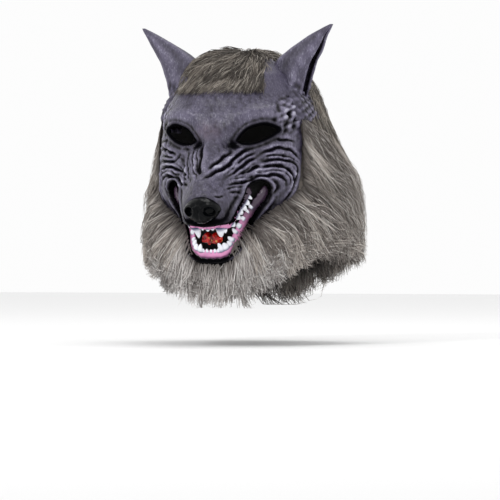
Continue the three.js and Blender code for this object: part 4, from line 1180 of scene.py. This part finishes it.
@dataclass(frozen=True)
class Jaw:
    """Gum band and teeth of one jaw, set behind its lip.

    `teeth` rows: share of the gum from the middle to the corner, length, half width, lean along the gum.
    """

    form: HeadForm
    upper: bool
    inset: float
    breadth: float
    teeth: Rows
    thickness: float = 5
    setback: float = 6.7
    tooth_overlap: float = 2.4
    tooth_seed: int = 23

    def lip_line(self, face: LatexFace, count: int) -> tuple[Array, Array, Array]:
        """Lip from the -X corner to the +X corner.

        Returns:
            Points on the face, the way into the mask (square to the face, eased over the ridge's radius), and
            the way to the teeth, which is square to the lip and to the way in.
        """
        half = face.mouth_half()
        half = half[:6] if self.upper else half[:6:-1]
        half = smooth_path(half, 60)
        flat = resampled(np.concatenate([half[:0:-1] * (-1, 1), half]), count)
        point = self.form.face_at(flat[:, 0], flat[:, 1])
        ease = self.form.ridge_radius
        x, z = flat[:, 0], flat[:, 1]
        across = (self.form.face_at(x + ease, z) - self.form.face_at(x - ease, z))[:, 1] / (2 * ease)
        up = (self.form.face_at(x, z + ease) - self.form.face_at(x, z - ease))[:, 1] / (2 * ease)
        back = unit(np.stack([-across, np.ones(count), -up], axis=1))
        to_teeth = unit(np.cross(back, np.gradient(point, axis=0)))
        aim = np.array([0, 0, -1.0 if self.upper else 1.0])
        middle = to_teeth[count // 2] @ aim
        return point, back, to_teeth * (1 if middle > 0 else -1)

    def build_gum(self, face: LatexFace, material: Material, node: str) -> None:
        """Builds the gum: a tube of oval section, pink towards the teeth and purple towards the lip."""
        count, sides = 140, 18
        lip, back, across = self.lip_line(face, count)
        path = lip + across * self.inset + back * self.setback
        out = back
        ripple = 1 + 0.10 * np.sin(np.linspace(0, 2 * math.pi * 26, count))
        ends = np.sqrt(np.clip(1 - np.abs(np.linspace(-1, 1, count)) ** 12, 0.02, 1))
        beside = np.abs(np.linspace(-1, 1, count))
        half = 0.5 * self.breadth * ripple * ends * (1 + 0.3 * smoothstep(beside, 0.25, 0.6))
        points, quads = tube(path, across, out, half, 0.5 * self.thickness * ends, sides)
        piece = add_mesh(node + "_skin", points, quads, tube_caps(count, sides))
        angle = np.tile(np.linspace(0, 2 * math.pi, sides, endpoint=False), count)
        inward = 0.5 + 0.5 * np.cos(angle)
        pink, purple, dark = (np.array(linear(colour)) for colour in GUM_COLOURS)
        mottle = 0.5 + 0.5 * waves(points[: count * sides], 9, 41)
        share = np.clip(smoothstep(inward, 0.0, 0.55) * (0.7 + 0.5 * mottle), 0, 1)[:, None]
        tint = purple + (pink - purple) * share
        tint += (dark - tint) * np.repeat(smoothstep(beside, 0.45, 0.72), sides)[:, None]
        add_tint(piece, "tint", np.concatenate([tint, [purple, purple]]))
        outward(piece)
        dress(piece, material, "gum_paint", node)

    def build_teeth(self, face: LatexFace, material: Material, node: str) -> None:
        """Builds the teeth as pointed pegs with a slight hook, all in one strip mesh."""
        lip, back, to_teeth = self.lip_line(face, 401)
        rows = []
        for place, *sizes in self.teeth:
            rows += [(side * place, *sizes) for side in ((1, -1) if place else (1,))]
        rows = np.asarray(rows)
        rng = np.random.default_rng(self.tooth_seed)
        rows[:, 1:] *= rng.uniform(0.8, 1.15, (len(rows), 3))
        last = len(lip) - 1
        index = np.clip(np.round(last / 2 * (1 + rows[:, 0])).astype(int), 0, last)
        edge = self.inset + 0.5 * self.breadth - self.tooth_overlap
        foot = lip[index] + to_teeth[index] * edge + back[index] * (self.setback - 0.4)
        tip = lip[index] + to_teeth[index] * (edge + rows[:, 1:2]) + back[index] * (self.setback - 1.6)
        beside = unit(lip[np.minimum(index + 4, last)] - lip[np.maximum(index - 4, 0)])
        beside *= np.where(rows[:, :1] < 0, -1, 1)
        tip += beside * rows[:, 3:4]
        rings, sides = 9, 14
        share = np.linspace(0, 1, rings)
        wide = np.sqrt(np.clip(1 - share**1.7, 0, 1)) * (1 - 0.25 * share)
        wide[-1] = 0.05
        angle = np.linspace(0, 2 * math.pi, sides, endpoint=False)
        axis = unit(tip - foot)
        front = unit(np.cross(axis, beside))
        bend = 0.10 * rows[:, 1, None] * (share * (1 - share))[None] * 4
        path = foot[:, None] + (tip - foot)[:, None] * share[None, :, None] + front[:, None] * bend[..., None]
        radius = rows[:, 2, None] * wide[None]
        ring = path[:, :, None] + radius[..., None, None] * (
            beside[:, None, None] * np.cos(angle)[None, None, :, None]
            + 0.8 * front[:, None, None] * np.sin(angle)[None, None, :, None]
        )
        points = np.concatenate([ring.reshape(len(rows), -1, 3), foot[:, None], path[:, -1:]], axis=1)
        each = points.shape[1]
        offset = (np.arange(len(rows)) * each)[:, None, None]
        quads = (grid_quads(rings, sides, wrap=True)[None] + offset).reshape(-1, 4)
        caps = (tube_caps(rings, sides)[None] + offset).reshape(-1, 3)
        piece = add_mesh(node + "_skin", points.reshape(-1, 3), quads, caps)
        level = np.concatenate([np.repeat(share, sides), [0, 1]])
        tint = blend(*TOOTH_COLOURS, smoothstep(level, 0.0, 0.35))
        add_tint(piece, "tint", np.tile(tint, (len(rows), 1)))
        outward(piece)
        dress(piece, material, "tooth_paint", node)


@dataclass(frozen=True)
class Tongue:
    """Wet red tongue with a rough top, in front of the liner."""

    form: HeadForm
    half_width: float = 12.5
    half_depth: float = 6
    half_height: float = 7
    drop: float = 210.5

    def build(self, y: float, material: Material) -> None:
        """Builds the tongue: a squeezed ball with a groove and small bumps, flecked with yellow painted
        highlights.
        """
        rows, columns = 40, 60
        way = ball(rows, columns)
        points = way * (self.half_width, self.half_depth, self.half_height) + (0, y, -self.drop)
        lift = 0.9 * waves(points, 5.5, 51) + 0.5 * waves(points, 2.6, 52) - 1.4 * bell(points[..., 0], 2)
        points = points + way * lift[..., None]
        flat = points.reshape(-1, 3)
        piece = add_mesh("tongue_skin", flat, grid_quads(rows, columns, wrap=True))
        deep, red, glint_yellow = TONGUE_AND_GLINT_COLOURS
        tint = blend(deep, red, smoothstep(lift.ravel(), -1.0, 0.8))
        # Yellow flecks are painted highlights, standing in for glints on the wet tongue
        glint_share = smoothstep(waves(flat, 3.4, 53), 0.75, 1.05)[:, None]
        add_tint(piece, "tint", tint + (linear(glint_yellow) - tint) * glint_share)
        outward(piece)
        dress(piece, material, "tongue_paint", "tongue")


@dataclass(frozen=True)
class MouthLiner:
    """Dark cloth behind the teeth."""

    form: HeadForm
    setback: float = 24
    flatness: float = 0.45
    bottom: float = -235
    top: float = -138
    wall: float = 2
    clearance: float = 6
    # drop in mm, half width
    reach: Rows = ((138, 170, 235), (80, 70, 48))

    def depth_at(self, x: Array, z: Array) -> Array:
        """Y of the liner: the face eased towards a plane, set back from it."""
        face = self.form.face_at(x, z)[..., 1]
        return face * (1 - self.flatness) - self.flatness * self.form.face_depth + self.setback

    def build(self, material: Material) -> None:
        """Builds the liner, narrowed so that it stays inside the face."""
        rows, columns = 30, 44
        z = np.linspace(self.top, self.bottom, rows)[:, None]
        x = np.linspace(-1, 1, columns)[None] * np.interp(-z, *self.reach)
        y = self.depth_at(x, z + 0 * x)
        behind = self.form.face_at(x, z + 0 * x)[..., 1] + self.clearance
        points = np.stack([x, np.maximum(y, behind), z + 0 * x], axis=-1)
        piece = add_mesh("mouth_liner_cloth", points.reshape(-1, 3), grid_quads(rows, columns))
        if piece.data.polygons[0].normal.y > 0:
            piece.data.flip_normals()
        thicken(piece, self.wall)
        dress(piece, material, "liner_cloth", "mouth_liner")


@dataclass(frozen=True)
class HoodCloth:
    """Cloth hood under the fur, open for the face and at its hem."""

    form: HeadForm
    wall: float = 2
    columns: int = 96
    rows: int = 60

    def build(self, material: Material) -> None:
        """Builds the hood from the crown to its hem, without the window that the face fills."""
        turn = np.linspace(-180, 180, self.columns, endpoint=False)[None]
        share = 1 - np.cos(np.linspace(0.02, 1, self.rows) * math.pi / 2)[:, None]
        z = self.form.hem(turn, 1) * share
        points = self.form.form(turn + 0 * z, z, self.wall)
        turned = np.abs(turn + 0 * z)
        inside = (turned < self.form.edge_turn(z)) & (z < -self.form.hairline) & (z > -self.form.chin_edge)
        quads = grid_quads(self.rows, self.columns, wrap=True)
        quads = quads[~inside.ravel()[quads].any(axis=1)]
        flat, fan = crowned(points, self.wall)
        piece, _ = add_trimmed("cloth_hood_skin", flat, quads, fan)
        thicken(piece, self.wall)
        dress(piece, material, "hood_cloth", "cloth_hood")


# Fur


class Coat(Enum):
    """Parts of the fur."""

    CROWN = "crown"
    LEFT = "left"
    RIGHT = "right"
    BACK = "back"
    CHIN = "chin"


@dataclass(frozen=True)
class Palette:
    """Colours of one part of the fur."""

    root: Colour
    middle: Colour
    tip: Colour
    stray: Colour


PALETTES = {
    Coat.CROWN: Palette((34, 31, 30), (82, 76, 71), (150, 141, 131), (190, 182, 171)),
    Coat.LEFT: Palette((78, 72, 69), (122, 114, 109), (206, 197, 189), (240, 235, 229)),
    Coat.RIGHT: Palette((78, 72, 69), (122, 114, 109), (206, 197, 189), (240, 235, 229)),
    Coat.BACK: Palette((48, 44, 42), (112, 105, 100), (190, 181, 173), (224, 217, 209)),
    Coat.CHIN: Palette((112, 105, 101), (148, 142, 139), (228, 223, 220), (249, 247, 244)),
}


# Strands in a block when the nearest clump is looked for, which saves memory
BLOCK = 2000
# Places of a strand's four rings along its length, and its rise from the skin to its full depth
STRAND_SHARES = (0, 0.3, 0.65, 1.0)
STRAND_RISE = (0.12, 0.74, 0.97, 1.0)
UNDERCOAT_COLOURS = ((44, 39, 36), (92, 85, 79))


@dataclass
class Fur:
    """Long faux fur: a dark undercoat and strands that hang over it in clumps."""

    form: HeadForm
    ears: tuple[Ear, ...]
    strands: int = 42000
    clumps: int = 1700
    width: float = 1.15
    seed: int = 7
    hem_room: float = 15
    side_lift: float = 9
    back_thinning: float = 0.47
    # where the parts of the fur meet, in mm below the crown and in degrees from the face
    top_drop: float = 22
    crown_drop: float = 62
    chin_drop: float = 205
    chin_turn: float = 42
    back_turn: float = 118
    # X at which the fringe ends beside each ear
    fringe: tuple = (-64, 49)
    brow_drop: float = 66
    ear_gap: float = 1.5
    skin_gap: float = 3.5
    # undercoat: share of the fur's depth, depth of its tuck under the latex, wall
    undercoat_depth: float = 0.22
    tuck: float = 3.8
    undercoat_wall: float = 2.5
    # degrees from straight down, towards the back: all over, more beside the face, over the forehead
    hanging: float = 8
    combed_back: float = 44
    combed_over: tuple = (-34.0, -20.0)
    # length in mm: all over, less on the crown, more at the back
    length: float = 74
    crown_cut: float = 36
    back_growth: float = 6
    levels: Array = field(init=False)
    arcs: Array = field(init=False)

    def __post_init__(self) -> None:
        """Measures the length down the head from the crown, at a turn of 45 degrees."""
        self.levels = -345 * np.linspace(0, 1, 500) ** 2
        line = self.form.form(45, self.levels, 8)
        steps = np.linalg.norm(np.diff(line, axis=0), axis=1)
        self.arcs = np.concatenate([[0], np.cumsum(steps)])

    def level(self, arc: Array) -> Array:
        """Level reached after a length down the head."""
        return np.interp(arc, self.arcs, self.levels)

    def arc(self, z: Array) -> Array:
        """Length down the head to a level."""
        return np.interp(-z, -self.levels, self.arcs)

    def covered(self, turn: Array, z: Array) -> Array:
        """True where fur grows: outside the face window and above the cloth hem."""
        margin = -0.12 - 0.18 * smoothstep(-z, 140, 180)
        margin = np.where(-z < self.crown_drop, 0, margin)
        return (self.form.fur_away(turn, z) > margin) & (z > self.form.hem(turn, 1) - 6)

    def over(self, turn: Array, z: Array, grow: Array) -> Array:
        """Points over the head, pushed out near the latex edge so that they clear the muzzle."""
        points = self.form.form(turn, z, grow)
        gap = self.form.muzzle_depth(points[..., 0], points[..., 2]) + points[..., 1]
        away = np.maximum(turned_away(turn) - self.form.edge_turn(z), 0)
        near = np.exp(-away / 11) * smoothstep(-z, 120, 160)
        points[..., 1] -= np.clip(gap, 0, 34) * near
        return points

    def build_undercoat(self, material: Material) -> None:
        """Builds the undercoat: a thick dark sheet over the hood, tucked under the latex at its edge."""
        rows, columns = 90, 150
        turn = np.linspace(-180, 180, columns, endpoint=False)[None]
        share = (1 - np.cos(np.linspace(0.02, 1, rows) * math.pi / 2))[:, None]
        hem = self.form.hem(turn, 1)
        z = hem * share
        away = self.form.fur_away(turn + 0 * z, z)
        tucked = smoothstep(away, 0.06, -0.14)
        over = self.skin_gap + self.undercoat_depth * self.form.depth_of_fur(turn, z)
        grow = over * (1 - tucked) - self.tuck * tucked
        points = self.over(turn + 0 * z, z, grow)
        points = points + unit(points * (1, 1, 0.3)) * (0.8 * waves(points, 14, 61))[..., None]
        keep = (away > -0.32 + 0.22 * smoothstep(-z, 146, 166)).ravel()
        quads = grid_quads(rows, columns, wrap=True)
        quads = quads[keep[quads].all(axis=1)]
        flat, fan = crowned(points, points[0, :, 2].mean())
        piece, used = add_trimmed("mane_undercoat", flat, quads, fan)
        share = np.clip(0.5 + 0.5 * waves(flat[used], 7, 62), 0, 1)
        add_tint(piece, "tint", blend(*UNDERCOAT_COLOURS, share))
        thicken(piece, self.undercoat_wall)
        dress(piece, material, "fur", "mane_fur")

    def lowest(self, turn: Array) -> Array:
        """Level that the tips reach: the fur hem, shorter at the sides than at the chin and the nape."""
        return self.form.hem(turn, 2) + self.side_lift * bell(turned_away(turn) - 48, 24)

    def roots(self, rng: np.random.Generator, count: int) -> tuple[Array, Array]:
        """Seeded roots, spread evenly over the area of the head where fur grows."""
        arcs = np.linspace(0, self.arcs[-1], 400)
        line = self.form.form(45, self.level(arcs), 5)
        radius = np.hypot(line[:, 0], line[:, 1]) + 6
        chance = np.cumsum(radius)
        arc = np.interp(rng.uniform(0, chance[-1], 4 * count), chance, arcs)
        turn = rng.uniform(-180, 180, 4 * count)
        thinned = rng.uniform(0, 1, 4 * count) < 1 - self.back_thinning * smoothstep(np.abs(turn), 105, 135)
        keep = self.covered(turn, self.level(arc)) & thinned
        return turn[keep][:count], arc[keep][:count]

    def flow(self, turn: Array, arc: Array) -> tuple[Array, Array]:
        """Direction and length of the fur at each root.

        Beside the face it is combed backwards by about 50 degrees, further back it hangs straight.
        Over the forehead it is combed towards -X, except beside the +X ear.

        Returns:
            The angle from straight down towards a growing turn, in degrees, and the length in mm.
        """
        z = self.level(arc)
        turned = np.abs(turn)
        beside = np.exp(-np.maximum(turned - self.form.edge_turn(z), 0) / 26) * smoothstep(-z, 40, 80)
        angle = np.sign(turn) * (self.hanging + self.combed_back * beside)
        crown = smoothstep(-z, 60, 25) * smoothstep(turned, 120, 80)
        combed = np.where(turn < 30, *self.combed_over)
        angle = angle * (1 - crown) + combed * crown
        angle = angle * (1 - smoothstep(-z, 185, 225) * smoothstep(turned, 60, 4))
        length = self.length - self.crown_cut * smoothstep(-z, 70, 25)
        length = length + self.back_growth * smoothstep(turned, 90, 170)
        return angle, length

    def build_strands(self, material: Material) -> None:
        """Builds all strands.

        A strand is a triangular tube that narrows to a point. Its path leaves the root, follows the head at a
        depth that rises towards the tip, and leans towards the middle of its clump.
        """
        rng = np.random.default_rng(self.seed)
        turn, arc = self.roots(rng, self.strands)
        count = len(turn)
        clump_turn, clump_arc = self.roots(rng, self.clumps)
        place = self.form.form(turn, self.level(arc), 0)
        centres = self.form.form(clump_turn, self.level(clump_arc), 0)
        blocks = np.array_split(place, count // BLOCK + 1)
        gaps = (np.linalg.norm(block[:, None] - centres[None], axis=2) for block in blocks)
        nearest = np.concatenate([gap.argmin(axis=1) for gap in gaps])
        angle, length = self.flow(turn, arc)
        clump_angle = rng.normal(0, 10, self.clumps)[nearest]
        clump_length = rng.uniform(0.75, 1.15, self.clumps)[nearest]
        clump_light = rng.normal(0, 1.1, self.clumps)[nearest]
        clump_lift = rng.uniform(0, 1, self.clumps)[nearest]
        angle = np.radians(angle + clump_angle + rng.normal(0, 6, count))
        length = length * clump_length * rng.uniform(0.8, 1.1, count)
        z0 = self.level(arc)
        radius = np.maximum(np.hypot(place[:, 0], place[:, 1]), 22)
        front = (np.abs(turn) < self.form.edge_turn(z0) + 6) & (-z0 < 60)
        room = self.arc(np.full(count, -39.0)) - arc + rng.uniform(-4, 5, count)
        room = np.maximum(room / np.maximum(np.cos(angle), 0.5), 9)
        length = np.where(front, np.clip(length, 12, room), length)
        share = np.array([STRAND_SHARES])
        pull = share**1.4 * rng.uniform(0.45, 0.95, count)[:, None]
        sideways = np.degrees(length * np.sin(angle) / radius)[:, None] * (share - 0.25 * share**2)
        to_clump = clump_turn[nearest] - turn
        to_clump *= np.abs(to_clump) < 30
        turns = turn[:, None] + sideways + to_clump[:, None] * pull
        wave = rng.normal(0, 1, (count, 4)) * (0, 0.7, 1.0, 1.4)
        turns = turns + np.degrees(wave / radius[:, None])
        down = (length * np.cos(angle))[:, None] * (share + 0.12 * share**2)
        arcs = arc[:, None] + down + (clump_arc[nearest] - arc)[:, None] * pull * 0.5
        z = self.level(np.maximum(arcs, 0))
        hem_shift = rng.normal(1, 9, self.clumps)[nearest] + rng.normal(0, 4, count)
        z = np.maximum(z, self.lowest(turns) + hem_shift[:, None])
        depth = self.form.depth_of_fur(turns, z)
        layer = 0.40 + 0.62 * np.clip(0.6 * rng.uniform(0, 1, count) + 0.4 * clump_lift, 0, 1)
        grow = self.skin_gap + depth * layer[:, None] * np.array(STRAND_RISE)
        lying = smoothstep(-z, 16, 37) * front[:, None]
        grow = grow - (grow - 1.8 - 2.4 * clump_lift[:, None]) * 0.85 * lying
        path = self.over(turns, z, grow)
        outward_way = unit(path * (1, 1, 0.4))
        path = path + outward_way * (rng.normal(0, 1, (count, 4)) * (0, 0.6, 0.9, 1.2))[..., None]
        path[..., 2] = np.maximum(path[..., 2], cad_low[2] / METRES - self.hem_room)
        keep = self.clear(path, rng.normal(0, 3.5, self.clumps)[nearest][:, None])
        part = self.part_of(turn, z0)
        for coat in Coat:
            chosen = keep & (part == coat.value)
            self.build_coat(coat, path[chosen], outward_way[chosen], clump_light[chosen], rng, material)

    def clear(self, path: Array, ragged: Array) -> Array:
        """True for strands that stay out of the ears and off the brow beside the fringe.

        Args:
            path: points of the strands, shape (n, 4, 3).
            ragged: shift of the fringe's ends for each strand, in mm.
        """
        x, y, z = np.moveaxis(path, -1, 0)
        inside = [ear.contains(path, self.ear_gap) for ear in self.ears]
        brow = (z > -self.brow_drop) & (y < -2)
        beyond = (x > self.fringe[1] + ragged) | (x < self.fringe[0] + ragged)
        return ~np.any([*inside, brow & beyond], axis=(0, 2))

    def part_of(self, turn: Array, z: Array) -> Array:
        """Name of the fur part at each root."""
        behind = np.abs(turn) > self.back_turn
        part = np.where(turn > 0, Coat.LEFT.value, Coat.RIGHT.value)
        part = np.where(behind, Coat.BACK.value, part)
        crown = (-z < self.top_drop) | ((-z < self.crown_drop) & ~behind)
        part = np.where(crown, Coat.CROWN.value, part)
        return np.where((-z > self.chin_drop) & (np.abs(turn) < self.chin_turn), Coat.CHIN.value, part)

    def build_coat(
        self, coat: Coat, path: Array, out: Array, light: Array, rng: np.random.Generator, material: Material
    ) -> None:
        """Builds the strands of one part as one mesh with a colour for each vertex.

        Args:
            coat: part of the fur.
            path: points of the strands, shape (n, 4, 3).
            out: way out of the fur at each point.
            light: lightness of each strand's clump, about 0.
            rng: source of the widths and shades.
            material: finish of the fur.
        """
        count = len(path)
        tangent = unit(np.gradient(path, axis=1))
        side = unit(np.cross(tangent, out))
        up = np.cross(side, tangent)
        half = 0.5 * self.width * rng.uniform(0.7, 1.3, count)
        angles = np.radians([90, 210, 330])[:, None]
        round_strand = side[:, :3, None] * np.cos(angles) + 0.6 * up[:, :3, None] * np.sin(angles)
        ring = path[:, :3, None] + (half[:, None] * (1.0, 0.95, 0.65))[..., None, None] * round_strand
        points = np.concatenate([ring.reshape(count, 9, 3), path[:, 3:]], axis=1)
        quads = grid_quads(3, 3, wrap=True)
        tips = np.array([[6, 9, 7], [7, 9, 8], [8, 9, 6], [0, 1, 2]])
        offset = (np.arange(count) * 10)[:, None, None]
        piece = add_mesh(
            f"mane_{coat.value}_fur",
            points.reshape(-1, 3),
            (quads[None] + offset).reshape(-1, 4),
            (tips[None] + offset).reshape(-1, 3),
        )
        palette = PALETTES[coat]
        colours = (palette.root, palette.middle, palette.tip, palette.stray)
        root, middle, tip, stray = (np.array(linear(colour)) for colour in colours)
        low = smoothstep(-path[:, 0, 2], 140, 210)
        pale = np.clip(0.38 + 0.15 * low + 0.40 * light + rng.normal(0, 0.22, count), 0, 1)
        stray_share = (rng.uniform(0, 1, count) < 0.16)[:, None]
        end = np.where(stray_share, stray, middle + (tip - middle) * pale[:, None])
        mid = root + (end - root) * (0.35 + 0.35 * pale[:, None])
        colours = np.stack([root + 0 * end, mid, 0.4 * mid + 0.6 * end, end], axis=1)
        vertex = np.repeat(colours, (3, 3, 3, 1), axis=1)
        add_tint(piece, "tint", vertex.reshape(-1, 3))
        outward(piece)
        dress(piece, material, "fur")


# Stage


@dataclass(frozen=True)
class Studio:
    """Pale floor, even light and a long lens."""

    azimuth: float = 18
    distance: float = 3.6
    lens: float = 216
    target: tuple = (0.00951, 0.00309, -0.224)
    floor_reach: float = 4
    floor_gap: float = 0.06
    floor_colour: tuple = (0.86, 0.86, 0.86, 1)
    sky: float = 0.98

    def build(self) -> None:
        """Builds floor, world, lights and camera."""
        mesh = bpy.data.meshes.new("floor")
        floor_z = float(cad_low[2]) - self.floor_gap
        reach = self.floor_reach
        corners = [(x * reach, y * reach, floor_z) for x, y in ((-1, -1), (1, -1), (1, 1), (-1, 1))]
        mesh.from_pydata(corners, [], [(0, 1, 2, 3)])
        floor = bpy.data.objects.new("floor", mesh)
        bpy.context.collection.objects.link(floor)
        shader = Shader("floor_paint")
        shader.put(shader.main, Base_Color=self.floor_colour, Roughness=0.9)
        mesh.materials.append(shader.material)
        world = bpy.data.worlds.new("studio")
        world.use_nodes = True
        back = world.node_tree.nodes["Background"]
        back.inputs["Color"].default_value = (1.0, 1.0, 1.0, 1)
        back.inputs["Strength"].default_value = self.sky
        bpy.context.scene.world = world
        self.light("key", (-0.7, -1.7, 1.1), 0.35, 12)
        self.light("fill", (1.6, -1.2, 0.5), 0.6, 4)
        self.light("top", (0.2, 0.3, 1.6), 0.8, 6)
        self.camera()
        bpy.context.scene.view_settings.view_transform = "Standard"

    def light(self, name: str, place: tuple, size: float, power: float) -> None:
        """Adds a square area light that faces the mask."""
        data = bpy.data.lights.new(name, "AREA")
        data.size = size
        data.energy = power
        lamp = bpy.data.objects.new(name, data)
        lamp.location = place
        way = Vector(self.target) - Vector(place)
        lamp.rotation_euler = way.to_track_quat("-Z", "Y").to_euler()
        bpy.context.collection.objects.link(lamp)

    def camera(self) -> None:
        """Adds the camera of the photograph."""
        data = bpy.data.cameras.new("camera")
        data.lens = self.lens
        data.sensor_width = 36
        data.clip_end = 50
        camera = bpy.data.objects.new("camera", data)
        angle = math.radians(self.azimuth)
        target = Vector(self.target)
        camera.location = target + self.distance * Vector((math.sin(angle), -math.cos(angle), 0))
        camera.rotation_euler = (target - camera.location).to_track_quat("-Z", "Y").to_euler()
        bpy.context.collection.objects.link(camera)
        bpy.context.scene.camera = camera


CLOTH = {"roughness": 0.9, "grain": (900, 2), "height": 0.4, "strength": 0.7}
UPPER_TEETH = (
    (0, 4, 2.9, 0), (0.075, 4.2, 2.8, 0), (0.15, 4.6, 2.8, 0), (0.245, 16, 5.4, 0.3),
    (0.34, 6.5, 3.4, 0.5), (0.42, 7.5, 4, 0.5), (0.515, 8.5, 4.4, 0.5), (0.61, 9, 4.4, 0.5),
    (0.705, 9, 4, 0.4), (0.79, 8, 3.6, 0.2), (0.87, 6.5, 3, 0),
)
LOWER_TEETH = (
    (0, 4.6, 2.6, 0), (0.045, 4.6, 2.6, 0), (0.09, 4.6, 2.6, 0), (0.15, 12, 4.6, -0.5),
    (0.22, 9.5, 4.4, 0), (0.295, 8.5, 4, 0), (0.37, 8.5, 4, 0), (0.44, 8, 3.8, 0), (0.51, 7.5, 3.6, 0),
    (0.58, 7.5, 3.4, 0), (0.645, 7, 3.2, 0), (0.71, 6, 2.8, 0),
)


def main() -> None:
    """Builds every piece in order and logs it."""
    logging.basicConfig(level=logging.INFO, format="%(name)s %(message)s")
    form = HeadForm()
    latex = LatexFinish("latex").material()
    face = LatexFace(form)
    face.build(latex)
    ears = (Ear(Side.LEFT, form), Ear(Side.RIGHT, form))
    for ear, node in zip(ears, ("ear_left", "ear_right")):
        ear.build(LatexFinish(node, roughness=0.5).material(), node)
    NosePad(form).build(Finish("nose_paint", (3, 4, 6), 0.12, shine=0.09).material())
    gum = Finish("gum_paint", roughness=0.22, height=0.5).material()
    tooth = Finish("tooth_paint", roughness=0.28, height=0.15).material()
    upper = Jaw(form, True, 3.4, 11.5, UPPER_TEETH)
    lower = Jaw(form, False, 3.6, 11.5, LOWER_TEETH, tooth_seed=24)
    upper.build_gum(face, gum, "upper_gum")
    lower.build_gum(face, gum, "lower_gum")
    upper.build_teeth(face, tooth, "upper_teeth")
    lower.build_teeth(face, tooth, "lower_teeth")
    liner = MouthLiner(form)
    liner.build(Finish("liner_cloth", (12, 11, 12), **CLOTH).material())
    tongue_y = float(liner.depth_at(np.array(0.0), np.array(-211.0))) - 20
    Tongue(form).build(tongue_y, Finish("tongue_paint", roughness=0.15).material())
    HoodCloth(form).build(Finish("hood_cloth", (30, 28, 28), **CLOTH).material())
    fur = Fur(form, ears)
    coat = Finish("fur", roughness=0.55, shine=0.35, height=0).material()
    fur.build_undercoat(coat)
    fur.build_strands(coat)
    Studio().build()


if __name__ == "__main__":
    main()
